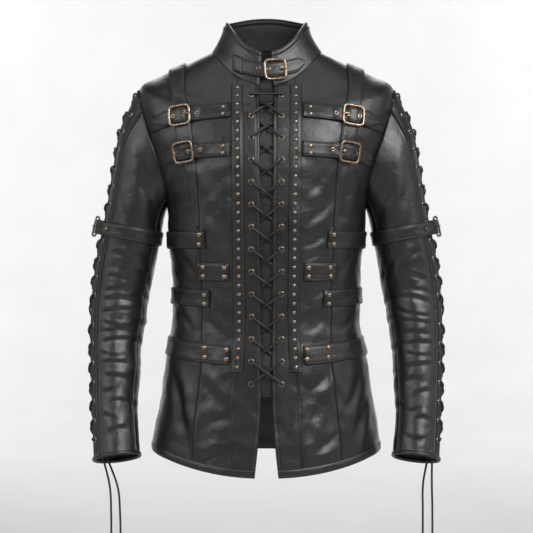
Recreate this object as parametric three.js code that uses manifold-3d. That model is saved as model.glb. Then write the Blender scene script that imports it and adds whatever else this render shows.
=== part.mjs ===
// A black leather jacket, laced up the front and along the outer side of each sleeve, with straps,
// roller buckles, rows of studs and a stand collar. It keeps the hollow form that it has when worn.
// Millimetres, +Z up, front to -Y. The origin is the middle of the neck at the height of the shoulders.
// Left and right are the wearer's, so left is +X.

import * as THREE from "three";
import { mergeVertices } from "three/addons/utils/BufferGeometryUtils.js";
import Module from "manifold-3d";

const wasm = await Module();
wasm.setup();

// Leather and the space between pieces
const WALL = 1.8;
const STRAP = 2.4;
const GAP = 0.34;
const LIFT = 0.8;

// Lacing
const LACE = 3.6;
const FRONT_ROWS = 14;
const FRONT_TOP_Z = -65;
const FRONT_BOTTOM_Z = -554;
const FRONT_EYELET_X = 25.5;
const EYELET_HOLE = 5.4;
const TONGUE_HALF = 47;
const TONGUE_DROP = 7.4;
const TONGUE_BOTTOM_Z = -575;
const UPPER_ROWS = 12;
const LOWER_ROWS = 7;
const ARM_EYELET = 33;
const END_Z = -832;
const END_SIDES = 8;
const END_STEP = 11;

// Strips, straps and metal
const STUD_STRIP = 20;
const STUD_STRIP_TOP_Z = -47;
const STUD_STRIP_BOTTOM_Z = -534;
const STUDS = 32;
const STUD = 7;
const STUD_HIGH = 2.6;
const RIVET = 9;
const RIVET_HIGH = 2.6;
const CHEST_STRAP = 25.5;
const BUCKLE_LONG = 40;
const BUCKLE_TALL = 38;
const BUCKLE_BAR = 4.4;
const BUCKLE_THICK = 3;
const ARM_STRAP = 24.5;
const HEM_BAND = 13;
const CUFF_BAND = 9;

// Rings of the body from the hem up to the neck seam: heights at front, side and back, half width,
// depth to the front and the back, and how square the ring is (2 is an ellipse). Then the distance from
// the middle of the front edge, of the seam behind the placket, and of the princess seam.
const BODY = table(
  ["zFront", "zSide", "zBack", "half", "front", "back", "square", "edge", "seam", "princess"],
  [
    [-711, -675, -690, 199, 134, 130, 2.1, 20, 60, 127],
    [-655, -636, -645, 195, 130, 126, 2.1, 14, 58, 124],
    [-590, -580, -585, 184, 124, 117, 2.15, 9.5, 56, 117.5],
    [-522, -515, -518, 174, 118, 106, 2.2, 9.3, 49, 110.5],
    [-455, -452, -452, 164, 113, 98, 2.2, 9.4, 46, 109.5],
    [-385, -385, -385, 163, 117, 104, 2.25, 9.8, 46, 110.5],
    [-310, -310, -310, 170, 123, 114, 2.3, 10.2, 47, 114],
    [-245, -243, -243, 173, 126, 119, 2.45, 10.5, 47.5, 120],
    [-190, -188, -186, 190, 125, 121, 2.6, 10.8, 48.5, 129],
    [-140, -122, -126, 212, 118, 119, 2.7, 11, 49, 139],
    [-100, -50, -78, 222, 105, 110, 2.5, 11.3, 49.5, 147],
    [-78, -25, -38, 184, 88, 96, 2.3, 11.6, 50, 154],
    [-61, -3, -2, 137, 74, 83, 2.2, 12, 50, 157],
    [-47, 17, 30, 96, 62, 72, 2.1, 12.4, 50, 157],
  ],
);
const NECK_ROW = 13;
const TIP_ROW = 10;
const ARMPIT_ROW = 7;
const ARMHOLE_SPREAD = 22;

// The collar's rings from the neck seam up to the rim, and its front edge
const COLLAR = table(
  ["zFront", "zSide", "zBack", "half", "front", "back", "square", "edge"],
  [
    [-47, 17, 30, 96, 62, 72, 2.1, 11.5],
    [-17, 44, 58, 80, 60, 66, 2.1, 9.5],
    [13, 71, 86, 72.5, 55, 60, 2.1, 7.5],
  ],
);

// Rings of a sleeve from its head to the cuff: the outermost and innermost points, the ring's middle
// from front to back, its half depth and how far it leans forward
const SLEEVE = table(
  ["outX", "outZ", "inX", "inZ", "middleY", "depth", "lean"],
  [
    [222, -50, 173, -243, 0, 61, 0],
    [254, -108, 182, -285, 2, 63, 0],
    [268, -176, 189, -323, 4, 62, 0],
    [281, -255, 196, -357, 6, 59, 0],
    [297, -330, 202, -392, 8, 56, 0],
    [306, -400, 209, -434, 6, 53, 4],
    [308, -480, 217, -492, -6, 49, 9],
    [305, -560, 221, -558, -22, 45, 12],
    [301, -630, 222, -621, -39, 43, 14],
    [297, -690, 216, -680, -55, 43, 15],
  ],
);
const CUFF_ROW = 9;

// Folds across the inside of the elbow: the ring where each lies, its depth, its half height in rings,
// and the angle round the sleeve where it is deepest
const ELBOW_FOLDS = table(
  ["ring", "depth", "height", "angle"],
  [
    [4.75, 3.5, 0.17, 120],
    [5.12, 4.5, 0.15, 110],
    [5.55, 4.5, 0.14, 135],
    [5.95, 4.5, 0.15, 105],
    [6.5, 3.5, 0.19, 125],
    [7.75, 2.5, 0.25, 105],
  ],
);
const FOLD_REACH = 75;

// Angles round a sleeve: 0 is outermost, 90 in front, 180 against the body
const TOP_SLEEVE = [50, 70, 90, 119, 148];
const UNDER_SLEEVE = [148, 180, 212, 241, 270, 290, 310];
const BAND_INNER = 20;
const BAND_OUTER = 50;
const GUSSET_HALF = 45;
const GUSSET_DROP = 1.7;
// The same angles up the armhole seam, from the armpit to the shoulder tip
const ARMHOLE_ANGLES = [180, 148, 119, 90, 70, 50, 20, 0];
const ARMHOLE_RINGS = ARMHOLE_ANGLES.length - 1;

const LEATHER = { color: 0x141312, roughness: 0.42, metalness: 0.05 };
const TONGUE_LEATHER = { color: 0x1b1a19, roughness: 0.5, metalness: 0.05 };
const ANTIQUE_BRASS = { color: 0x8a6f4d, roughness: 0.35, metalness: 1 };
const CORD = { color: 0x100f0f, roughness: 0.6, metalness: 0 };

const jacket = new THREE.Group();
jacket.name = "leather_lace_up_jacket";

function table(names, rows) {
  return { names, rows, last: rows.length - 1 };
}

// A column of a table at any height, on a smooth curve through the rows
function column(from, name, at) {
  const k = from.names.indexOf(name);
  const t = Math.min(Math.max(at, 0), from.last);
  const i = Math.min(Math.floor(t), from.last - 1);
  const u = t - i;
  const p0 = from.rows[Math.max(i - 1, 0)][k];
  const p1 = from.rows[i][k];
  const p2 = from.rows[i + 1][k];
  const p3 = from.rows[Math.min(i + 2, from.last)][k];
  const bend = (2 * p0 - 5 * p1 + 4 * p2 - p3) * u * u;
  const twist = (3 * p1 - p0 - 3 * p2 + p3) * u * u * u;
  return 0.5 * (2 * p1 + (p2 - p0) * u + bend + twist);
}

function mix(a, b, u) {
  return a + (b - a) * u;
}

// Count + 1 even steps from a to b
function steps(a, b, count) {
  return Array.from({ length: count + 1 }, (_, i) => mix(a, b, i / count));
}

// A point of the body or the collar, by angle from the middle of the front and by ring
function ringPoint(from, angle, t) {
  const a = THREE.MathUtils.degToRad(angle);
  const sin = Math.sin(a);
  const cos = Math.cos(a);
  const power = 2 / column(from, "square", t);
  const side = column(from, "zSide", t);
  const end = column(from, cos > 0 ? "zFront" : "zBack", t);
  const x = Math.sign(sin) * Math.abs(sin) ** power * column(from, "half", t);
  const reach = Math.abs(cos) ** power;
  const y = cos > 0 ? -reach * column(from, "front", t) : reach * column(from, "back", t);
  return new THREE.Vector3(x, y, side + (end - side) * cos * cos);
}

// The angle at which a ring is x from the middle, in front
function angleAt(from, x, t) {
  const share = Math.min(1, Math.abs(x) / column(from, "half", t));
  const angle = Math.asin(share ** (column(from, "square", t) / 2));
  return Math.sign(x) * THREE.MathUtils.radToDeg(angle);
}

// The value between low and high where a rising function passes a target
function solve(low, high, target, rising) {
  let a = low;
  let b = high;
  for (let i = 0; i < 44; i += 1) {
    const middle = (a + b) / 2;
    if (rising(middle) < target) a = middle;
    else b = middle;
  }
  return (a + b) / 2;
}

// A surface point with its outward normal
function onRing(from, angle, t) {
  const point = ringPoint(from, angle, t);
  const across = ringPoint(from, angle + 0.4, t).sub(ringPoint(from, angle - 0.4, t));
  const up = ringPoint(from, angle, Math.min(t + 0.01, from.last));
  up.sub(ringPoint(from, angle, Math.max(t - 0.01, 0)));
  return { point, normal: across.cross(up).normalize() };
}

// The front of the body or collar at a given x and z
function onFront(from, x, z) {
  const t = solve(0, from.last, z, (at) => ringPoint(from, angleAt(from, x, at), at).z);
  return onRing(from, angleAt(from, x, t), t);
}

// The body at a given angle and z
function onBelt(angle, z) {
  const t = solve(0, NECK_ROW, z, (at) => ringPoint(BODY, angle, at).z);
  return onRing(BODY, angle, t);
}

// The armhole seam by the sleeve's angle
function armhole(angle) {
  const a = THREE.MathUtils.degToRad(angle);
  const t = mix(ARMPIT_ROW, TIP_ROW, 0.5 + 0.5 * Math.cos(a));
  return { angle: 90 - ARMHOLE_SPREAD * Math.sin(a), t };
}

// Folds die out towards the lacing bands
function foldDepth(angle, s) {
  const fade = THREE.MathUtils.smoothstep(angle, BAND_OUTER, 82) * (1 - THREE.MathUtils.smoothstep(angle, 190, 235));
  let depth = 0;
  for (const [ring, deep, high, middle] of ELBOW_FOLDS.rows) {
    const round = angle - middle;
    const along = (s - ring) / high;
    depth += deep * Math.exp(-along * along - (round / FOLD_REACH) ** 2);
  }
  return depth * fade;
}

function tubePoint(angle, s, fold) {
  const a = THREE.MathUtils.degToRad(angle);
  const lean = THREE.MathUtils.degToRad(column(SLEEVE, "lean", s));
  const outX = column(SLEEVE, "outX", s);
  const inX = column(SLEEVE, "inX", s);
  const outZ = column(SLEEVE, "outZ", s);
  const inZ = column(SLEEVE, "inZ", s);
  const depth = column(SLEEVE, "depth", s) - fold;
  const forward = Math.sin(a) * depth;
  return new THREE.Vector3(
    (outX + inX) / 2 + (Math.cos(a) * (outX - inX)) / 2,
    column(SLEEVE, "middleY", s) - forward * Math.cos(lean),
    (outZ + inZ) / 2 + (Math.cos(a) * (outZ - inZ)) / 2 + forward * Math.sin(lean),
  );
}

// A point of the left sleeve, which starts on the armhole seam
function sleevePoint(angle, s) {
  const fold = foldDepth(((angle % 360) + 360) % 360, s);
  const point = tubePoint(angle, s, fold);
  const share = Math.max(0, 1 - s);
  if (share === 0) return point;
  const seam = armhole(angle);
  const shift = ringPoint(BODY, seam.angle, seam.t).sub(tubePoint(angle, 0, 0));
  return point.addScaledVector(shift, share * share * (3 - 2 * share));
}

function onSleeve(angle, s) {
  const point = sleevePoint(angle, s);
  const round = sleevePoint(angle - 1, s).sub(sleevePoint(angle + 1, s));
  const down = sleevePoint(angle, Math.min(s + 0.02, CUFF_ROW));
  down.sub(sleevePoint(angle, Math.max(s - 0.02, 0)));
  return { point, normal: down.cross(round).normalize() };
}

// The ring of the sleeve that is at height z on the line at an angle
function sleeveRing(angle, z) {
  return solve(0, CUFF_ROW, -z, (s) => -sleevePoint(angle, s).z);
}

// A wall from a grid of surface points: its outer face stands lift off the surface. Cells for which
// hole says so are left open. The border is drawn in so that neighbours stay GAP apart.
function wall(grid, lift, thick, options = {}) {
  const rows = grid.length;
  const cols = grid[0].length;
  const loop = options.loop ?? false;
  const hole = options.hole ?? (() => false);
  const inset = options.inset ?? GAP / 2;
  const liftAt = typeof lift === "function" ? lift : () => lift;
  const drawn = grid.map((row) => row.map((cell) => cell.point.clone()));
  const draw = (i, j, i2, j2) => {
    const step = grid[i2][j2].point.clone().sub(grid[i][j].point);
    drawn[i][j].addScaledVector(step.normalize(), inset);
  };
  for (let j = 0; j < cols; j += 1) {
    draw(0, j, 1, j);
    draw(rows - 1, j, rows - 2, j);
  }
  if (!loop) {
    for (let i = 0; i < rows; i += 1) {
      draw(i, 0, i, 1);
      draw(i, cols - 1, i, cols - 2);
    }
  }
  const positions = [];
  grid.forEach((row, i) => row.forEach((cell, j) => {
    const top = liftAt(i, j);
    for (const off of [top, top - thick]) {
      positions.push(...drawn[i][j].clone().addScaledVector(cell.normal, off).toArray());
    }
  }));
  const cellCols = loop ? cols : cols - 1;
  const solid = (i, j) => {
    if (i < 0 || i >= rows - 1) return false;
    if (!loop && (j < 0 || j >= cellCols)) return false;
    return !hole(i, (j + cellCols) % cellCols);
  };
  const id = (i, j) => 2 * (i * cols + (j % cols));
  const e1 = grid[0][1].point.clone().sub(grid[0][0].point);
  const e2 = grid[1][0].point.clone().sub(grid[0][0].point);
  const straight = e1.cross(e2).dot(grid[0][0].normal) > 0;
  const index = [];
  for (let i = 0; i < rows - 1; i += 1) {
    for (let j = 0; j < cellCols; j += 1) {
      if (!solid(i, j)) continue;
      const around = [id(i, j), id(i, j + 1), id(i + 1, j + 1), id(i + 1, j)];
      const open = [!solid(i - 1, j), !solid(i, j + 1), !solid(i + 1, j), !solid(i, j - 1)];
      const c = straight ? around : [around[1], around[0], around[3], around[2]];
      const bare = straight ? open : [open[0], open[3], open[2], open[1]];
      index.push(c[0], c[1], c[2], c[0], c[2], c[3]);
      index.push(c[2] + 1, c[1] + 1, c[0] + 1, c[3] + 1, c[2] + 1, c[0] + 1);
      bare.forEach((isBare, k) => {
        if (!isBare) return;
        const a = c[k];
        const b = c[(k + 1) % 4];
        index.push(b, a, a + 1, b, a + 1, b + 1);
      });
    }
  }
  return closedGeometry(positions, index);
}

// A round cord along points: a regular section swept with no twist
function cord(points, diameter, sides) {
  const path = points.filter((p, i) => i === 0 || p.distanceTo(points[i - 1]) > 0.05);
  const turns = path.map((p, i) => {
    const before = path[Math.max(i - 1, 0)];
    const after = path[Math.min(i + 1, path.length - 1)];
    return after.clone().sub(before).normalize();
  });
  let side = new THREE.Vector3(0, 0, 1).cross(turns[0]);
  if (side.length() < 0.1) side = new THREE.Vector3(0, 1, 0).cross(turns[0]);
  const positions = [];
  path.forEach((p, i) => {
    side.addScaledVector(turns[i], -side.dot(turns[i])).normalize();
    const other = turns[i].clone().cross(side);
    for (let k = 0; k < sides; k += 1) {
      const a = (2 * Math.PI * (k + 0.5)) / sides;
      const spoke = side.clone().multiplyScalar(Math.cos(a)).addScaledVector(other, Math.sin(a));
      positions.push(...p.clone().addScaledVector(spoke, diameter / 2).toArray());
    }
  });
  const index = [];
  for (let i = 0; i < path.length - 1; i += 1) {
    for (let k = 0; k < sides; k += 1) {
      const a = i * sides + k;
      const b = i * sides + ((k + 1) % sides);
      index.push(a, b, b + sides, a, b + sides, a + sides);
    }
  }
  const lastRing = (path.length - 1) * sides;
  for (let k = 1; k < sides - 1; k += 1) {
    index.push(0, k + 1, k);
    index.push(lastRing, lastRing + k, lastRing + k + 1);
  }
  return closedGeometry(positions, index);
}

function closedGeometry(positions, index) {
  const geometry = new THREE.BufferGeometry();
  geometry.setAttribute("position", new THREE.Float32BufferAttribute(positions, 3));
  geometry.setIndex(index);
  return geometry;
}

function toManifold(geometry) {
  const bare = geometry.clone();
  bare.deleteAttribute("normal");
  bare.deleteAttribute("uv");
  const merged = mergeVertices(bare);
  return new wasm.Manifold(new wasm.Mesh({
    numProp: 3,
    vertProperties: new Float32Array(merged.attributes.position.array),
    triVerts: new Uint32Array(merged.index.array),
  }));
}

function joined(geometries) {
  let whole = toManifold(geometries[0]);
  for (const more of geometries.slice(1)) whole = whole.add(toManifold(more));
  const mesh = whole.getMesh();
  return closedGeometry(Array.from(mesh.vertProperties), Array.from(mesh.triVerts));
}

// A low dome whose base is sunk a little into the strap that carries it
function dome(at, lift, diameter, high) {
  const sink = 1.6;
  const geometry = new THREE.ConeGeometry(diameter / 2, high + sink, 5);
  const turn = new THREE.Quaternion().setFromUnitVectors(new THREE.Vector3(0, 1, 0), at.normal);
  const middle = at.point.clone().addScaledVector(at.normal, lift - sink + (high + sink) / 2);
  return geometry.applyQuaternion(turn).translate(middle.x, middle.y, middle.z);
}

function mirrored(geometry) {
  const copy = geometry.clone();
  const position = copy.attributes.position;
  for (let i = 0; i < position.count; i += 1) position.setX(i, -position.getX(i));
  const index = Array.from(copy.index.array);
  for (let i = 0; i < index.length; i += 3) {
    const keep = index[i + 1];
    index[i + 1] = index[i + 2];
    index[i + 2] = keep;
  }
  copy.setIndex(index);
  return copy;
}

function add(name, geometry, look) {
  const mesh = new THREE.Mesh(geometry, new THREE.MeshStandardMaterial(look));
  mesh.name = name;
  jacket.add(mesh);
}

function addPair(name, geometry, look) {
  add(`${name}_left`, geometry, look);
  add(`${name}_right`, mirrored(geometry), look);
}

// Body panels

const BODY_ROWS = [0, 0.7, 1.4, 2, 2.6, 3.1, 3.6, 4.1, 4.7, 5.3, 6];
const PRINCESS_TOP = solve(TIP_ROW, NECK_ROW, -BODY.rows[11][9] - 1, (t) => -column(BODY, "half", t));

// The princess seam as ring numbers, level with the side seam and then with the armhole
function princessRing(k) {
  const below = BODY_ROWS.length - 1;
  if (k <= below) return BODY_ROWS[k];
  return mix(BODY_ROWS[below], PRINCESS_TOP, ((k - below) / (ARMHOLE_RINGS + 1)) ** 0.92);
}

function princessAngle(t) {
  return t >= PRINCESS_TOP - 1e-6 ? 90 : angleAt(BODY, column(BODY, "princess", t), t);
}

function sideCurve(k, backward) {
  const below = BODY_ROWS.length - 1;
  if (k <= below) return { angle: 90, t: BODY_ROWS[k] };
  const seam = armhole(ARMHOLE_ANGLES[k - below - 1]);
  return { angle: backward ? 180 - seam.angle : seam.angle, t: seam.t };
}

const PANEL_RINGS = BODY_ROWS.length + ARMHOLE_RINGS + 1;
const LOW_RINGS = BODY_ROWS.length;

// The rings up the middle of a panel that ends at the neck
function innerRing(k) {
  if (k < LOW_RINGS) return BODY_ROWS[k];
  return mix(BODY_ROWS[LOW_RINGS - 1], NECK_ROW, (k - LOW_RINGS + 1) / (PANEL_RINGS - LOW_RINGS));
}

// From the princess seam to the side seam and the armhole, in front or at the back
function sidePanel(backward) {
  const grid = [];
  for (let k = 0; k < PANEL_RINGS; k += 1) {
    const t = princessRing(k);
    const inner = { angle: princessAngle(t), t };
    const outer = sideCurve(k, false);
    grid.push(steps(0, 1, 3).map((u) => {
      const angle = mix(inner.angle, outer.angle, u);
      return onRing(BODY, backward ? 180 - angle : angle, mix(inner.t, outer.t, u));
    }));
  }
  return wall(grid, 0, WALL);
}

// From the placket to the princess seam, up to the neck and the shoulder
function frontPanel() {
  const grid = [];
  for (let k = 0; k < PANEL_RINGS; k += 1) {
    const u = k / (PANEL_RINGS - 1);
    const outerT = princessRing(k);
    const innerT = innerRing(k);
    const outerAngle = princessAngle(outerT);
    const innerAngle = angleAt(BODY, column(BODY, "seam", innerT), innerT);
    grid.push(steps(0, 1, 4).map((v) => {
      const bow = u ** 14 * Math.min(1, v / 0.75);
      const t = mix(mix(innerT, outerT, v), NECK_ROW, v < 1 ? bow * (1 - Math.max(0, v - 0.75) * 4) : 0);
      const angle = mix(innerAngle, outerAngle, Math.min(1, v * (1 + u ** 14 / 3)));
      return onRing(BODY, angle, t);
    }));
  }
  return wall(grid, 0, WALL);
}

// The back between the princess seams, up to the neck and the shoulders
function backPanel() {
  const grid = [];
  const columns = steps(-1, 1, 10);
  for (let k = 0; k < PANEL_RINGS; k += 1) {
    const u = k / (PANEL_RINGS - 1);
    const outerT = princessRing(k);
    const innerT = innerRing(k);
    const outerAngle = 180 - princessAngle(outerT);
    grid.push(columns.map((v) => {
      const share = Math.abs(v);
      const reach = Math.min(1, share * (1 + u ** 14 / 3));
      const t = share < 1 && u === 1 ? NECK_ROW : mix(innerT, outerT, share ** 1.5);
      return onRing(BODY, 180 - Math.sign(v) * mix(0, 180 - outerAngle, reach), t);
    }));
  }
  return wall(grid, 0, WALL);
}

function frontRowZ(k) {
  return mix(FRONT_TOP_Z, FRONT_BOTTOM_Z, k / (FRONT_ROWS - 1));
}

// The placket, with its eyelet holes, from the front edge to the stud strip's seam
function placket() {
  const half = EYELET_HOLE / 2;
  const heights = [0, 0.33, 0.66, 1].map((u) => mix(0, 2.15, u));
  const grid = heights.map((t) => {
    const edge = column(BODY, "edge", t);
    const seam = column(BODY, "seam", t);
    return [edge, mix(edge, seam, 0.3), mix(edge, seam, 0.45), seam].map((x) => onRing(BODY, angleAt(BODY, x, t), t));
  });
  const firstHoleRow = grid.length;
  for (let k = FRONT_ROWS - 1; k >= 0; k -= 1) {
    for (const z of [frontRowZ(k) - half, frontRowZ(k) + half]) {
      const t = solve(0, NECK_ROW, z, (at) => ringPoint(BODY, angleAt(BODY, FRONT_EYELET_X, at), at).z);
      const edge = column(BODY, "edge", t);
      const xs = [edge, FRONT_EYELET_X - half, FRONT_EYELET_X + half, column(BODY, "seam", t)];
      grid.push(xs.map((x) => onRing(BODY, angleAt(BODY, x, t), t)));
    }
  }
  const top = [column(BODY, "edge", NECK_ROW), 22, 30, column(BODY, "seam", NECK_ROW)];
  grid.push(top.map((x) => onRing(BODY, angleAt(BODY, x, NECK_ROW), NECK_ROW)));
  const hole = (i, j) => j === 1 && i >= firstHoleRow && (i - firstHoleRow) % 2 === 0 && i < grid.length - 2;
  return wall(grid, 0, WALL, { hole });
}

function tongue() {
  const heights = steps(TONGUE_BOTTOM_Z, -52, 14);
  const xs = [-TONGUE_HALF - 9, -TONGUE_HALF, -16, 16, TONGUE_HALF];
  const grid = heights.map((z) => xs.map((x) => onFront(BODY, x, z)));
  const sewn = -WALL - 1.1;
  return wall(grid, (i, j) => (j === 0 ? sewn : -TONGUE_DROP), WALL);
}

function studStrip() {
  const middle = (z) => {
    const t = solve(0, NECK_ROW, z, (at) => ringPoint(BODY, angleAt(BODY, 47, at), at).z);
    return column(BODY, "seam", t);
  };
  const grid = steps(STUD_STRIP_BOTTOM_Z, STUD_STRIP_TOP_Z, 20).map((z) =>
    [-1, 0, 1].map((side) => onFront(BODY, middle(z) + (side * STUD_STRIP) / 2, z)));
  const lift = LIFT + WALL;
  const parts = [wall(grid, lift, WALL, { inset: 0 })];
  for (const z of steps(STUD_STRIP_BOTTOM_Z + 8, STUD_STRIP_TOP_Z - 6, STUDS - 1)) {
    parts.push(dome(onFront(BODY, middle(z), z), lift, STUD, STUD_HIGH));
  }
  return joined(parts);
}

// Straps that lie on the body. A route is a list of [x, z] on the front.

function along(route, count) {
  const points = route.map(([x, z]) => new THREE.Vector3(x, 0, z));
  const curve = new THREE.CatmullRomCurve3(points, false, "centripetal");
  return steps(0, 1, count).map((u) => curve.getPointAt(u));
}

function strapGrid(route, count, width) {
  return along(route, count).map((p) => [-0.5, 0, 0.5].map((side) => onFront(BODY, p.x, p.z + side * width)));
}

// The two chest straps of a side: outer end at the armhole, buckle, inner end at the placket
const CHEST = [
  { name: "upper", inner: [61, -93], buckle: [145, -103], outer: [197, -116], tip: [189, -111] },
  { name: "lower", inner: [60.5, -159], buckle: [138, -164], outer: [178, -174], tip: [174, -171] },
];

function chestStrap(spec) {
  const between = [mix(spec.inner[0], spec.buckle[0], 0.5), mix(spec.inner[1], spec.buckle[1], 0.42)];
  const route = [spec.inner, between, spec.buckle, spec.tip];
  const count = 13;
  const centre = along(route, count);
  const grid = centre.map((p, i) => {
    const width = i === count ? CHEST_STRAP * 0.3 : CHEST_STRAP;
    return [-0.5, 0, 0.5].map((side) => onFront(BODY, p.x, p.z + side * width));
  });
  const lifts = centre.map((p) => {
    const onShoulderStrap = THREE.MathUtils.smoothstep(p.x, spec.buckle[0] - 36, spec.buckle[0] - 22);
    const overHeel = THREE.MathUtils.smoothstep(p.x, spec.buckle[0] - 8, spec.buckle[0] + 13);
    const past = THREE.MathUtils.smoothstep(p.x, spec.buckle[0] + 24, spec.tip[0]);
    return LIFT + STRAP + onShoulderStrap * (STRAP + 0.7) + overHeel * 5 - past * 4.2;
  });
  const parts = [wall(grid, (i) => lifts[i], STRAP, { inset: 0 })];
  for (const off of [-3.6, 3.6]) {
    const x = spec.inner[0] + 13;
    parts.push(dome(onFront(BODY, x, spec.inner[1] + off - 2), LIFT + STRAP, 6.5, 2));
  }
  return joined(parts);
}

function chestBase(spec) {
  const heel = [spec.buckle[0] + BUCKLE_LONG / 2 + 1, mix(spec.buckle[1], spec.outer[1], 0.4)];
  return wall(strapGrid([heel, spec.outer], 3, CHEST_STRAP), LIFT + STRAP + 0.5, STRAP, { inset: 0 });
}

// A flat frame with a prong. The prong lies over the bar at -u, the heel bar is at +u. Tilt lowers the
// heel, base is the frame's underside off the surface, and rise is how far the prong climbs inwards.
function buckle(at, u, tilt, base, rise) {
  const normal = at.normal.clone().addScaledVector(u, tilt).normalize();
  const along = u.clone().addScaledVector(normal, -u.dot(normal)).normalize();
  const cross = normal.clone().cross(along);
  const corner = 0.72;
  const outline = [[1, corner], [corner, 1], [-corner, 1], [-1, corner], [-1, -corner], [-corner, -1],
    [corner, -1], [1, -corner]];
  const place = (a, b, c) => at.point.clone()
    .addScaledVector(along, a).addScaledVector(cross, b).addScaledVector(normal, c).toArray();
  const positions = [];
  for (const [a, b] of outline) {
    const long = BUCKLE_LONG / 2;
    const tall = BUCKLE_TALL / 2;
    positions.push(...place(a * long, b * tall, base), ...place(a * long, b * tall, base + BUCKLE_THICK));
    positions.push(...place(a * (long - BUCKLE_BAR), b * (tall - BUCKLE_BAR), base + BUCKLE_THICK));
    positions.push(...place(a * (long - BUCKLE_BAR), b * (tall - BUCKLE_BAR), base));
  }
  const index = [];
  for (let i = 0; i < 8; i += 1) {
    for (let k = 0; k < 4; k += 1) {
      const a = 4 * i + k;
      const b = 4 * i + ((k + 1) % 4);
      const c = 4 * ((i + 1) % 8) + ((k + 1) % 4);
      const d = 4 * ((i + 1) % 8) + k;
      index.push(a, b, c, a, c, d);
    }
  }
  const frame = closedGeometry(positions, index);
  const prongPositions = [];
  const prongLow = base + BUCKLE_THICK - 0.8;
  for (const [a, low] of [[-BUCKLE_LONG / 2 + 1.4, prongLow], [2, prongLow + rise]]) {
    for (const [b, c] of [[-1.6, low], [1.6, low], [1.6, low + 2.6], [-1.6, low + 2.6]]) {
      prongPositions.push(...place(a, b, c));
    }
  }
  const prongIndex = [0, 2, 1, 0, 3, 2, 4, 5, 6, 4, 6, 7];
  for (let k = 0; k < 4; k += 1) {
    const next = (k + 1) % 4;
    prongIndex.push(k, next, next + 4, k, next + 4, k + 4);
  }
  const prong = closedGeometry(prongPositions, prongIndex);
  return joined([facingOut(frame), facingOut(prong)]);
}

// The same solid with its faces pointing out
function facingOut(geometry) {
  const p = geometry.attributes.position;
  const index = Array.from(geometry.index.array);
  const a = new THREE.Vector3();
  const b = new THREE.Vector3();
  const c = new THREE.Vector3();
  let volume = 0;
  for (let i = 0; i < index.length; i += 3) {
    a.fromBufferAttribute(p, index[i]);
    b.fromBufferAttribute(p, index[i + 1]);
    c.fromBufferAttribute(p, index[i + 2]);
    volume += a.dot(b.cross(c));
  }
  if (volume < 0) {
    for (let i = 0; i < index.length; i += 3) index.splice(i + 1, 2, index[i + 2], index[i + 1]);
    geometry.setIndex(index);
  }
  return geometry;
}

function chestBuckle(spec) {
  const at = onFront(BODY, ...spec.buckle);
  const next = onFront(BODY, spec.buckle[0] + 8, spec.buckle[1] - 1.2).point;
  return buckle(at, next.sub(at.point).normalize(), 0.11, LIFT + STRAP + 1.7, 2.6);
}

// The shoulder strap: down the front princess seam, over the shoulder, and down the back one
function shoulderStrap() {
  const half = 14.5;
  const grid = [];
  const low = 6.3;
  const edgeX = (t, side) => {
    const taper = THREE.MathUtils.smoothstep(t, low, 9.4);
    return column(BODY, "princess", Math.min(t, 11)) + side * mix(3.5, half, taper);
  };
  const crest = (side) => solve(TIP_ROW, NECK_ROW, -edgeX(12, side), (t) => -column(BODY, "half", t));
  for (const backward of [false, true]) {
    for (const u of backward ? steps(1, 0, 9).slice(1) : steps(0, 1, 9)) {
      grid.push([-1, 0, 1].map((side) => {
        const t = mix(low, crest(side), u);
        const angle = u === 1 ? 90 : angleAt(BODY, Math.min(edgeX(t, side), column(BODY, "half", t)), t);
        return onRing(BODY, backward ? 180 - angle : angle, t);
      }));
    }
  }
  const crestRow = (grid.length - 1) / 2;
  const crown = (i) => 1 - Math.min(1, Math.abs(i - crestRow) / 6);
  return wall(grid, (i) => LIFT + STRAP + 1.6 * crown(i), STRAP, { inset: 0 });
}

// Level straps: z of the middle in front and at the side, from one angle to another
function levelStrap(angles, zAt, width, lift, rivets) {
  const grid = angles.map((angle) => [-0.5, 0, 0.5].map((side) => onBelt(angle, zAt(angle) + side * width)));
  const parts = [wall(grid, lift, STRAP, { inset: 0 })];
  for (const [x, z] of rivets) {
    const at = onFront(BODY, x, z);
    parts.push(dome(at, lift, RIVET, RIVET_HIGH));
  }
  return joined(parts);
}

function beltHeight(front, side, back) {
  return (angle) => {
    const cos = Math.cos(THREE.MathUtils.degToRad(angle));
    return mix(side, cos > 0 ? front : back, cos * cos);
  };
}

// Angles from a strap's front end on one side, round the back, to its end on the other side
function roundBack(frontAngle, count) {
  return steps(frontAngle, 360 - frontAngle, count);
}

const LEVEL_LIFT = LIFT + STRAP + 0.1;

function sideStraps() {
  const upper = beltHeight(-312, -311, -306);
  const lower = beltHeight(-413, -407, -404);
  const belt = beltHeight(-508, -494, -490);
  const bothSides = (list) => list.flatMap(([x, z]) => [[x, z], [-x, z]]);
  add("upper_side_strap", levelStrap(roundBack(34, 32), upper, 30, LEVEL_LIFT,
    bothSides([[112, -303], [112, -319]])), LEATHER);
  add("lower_side_strap", levelStrap(roundBack(33.5, 32), lower, 29, LEVEL_LIFT,
    bothSides([[104, -405], [104, -420]])), LEATHER);
  add("waist_belt", levelStrap(roundBack(19, 36), belt, 32, LEVEL_LIFT,
    bothSides([[103, -494], [103, -510], [67, -497], [67, -513]])), LEATHER);
  const centre = levelStrap(steps(19.5, 42.5, 3), () => -366, 31, LEVEL_LIFT,
    [[106, -358], [106, -373], [70, -359], [70, -374]]);
  addPair("centre_strap", centre, LEATHER);
}

function hemBinding() {
  const start = angleAt(BODY, column(BODY, "edge", 0), 0) + 0.1;
  const grid = steps(start, 360 - start, 44).map((angle) => {
    const edge = onRing(BODY, angle, 0);
    const above = onBelt(angle, edge.point.z + HEM_BAND);
    return [edge, above];
  });
  return wall(grid, LIFT + WALL, WALL, { inset: 0 });
}

// Collar

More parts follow.
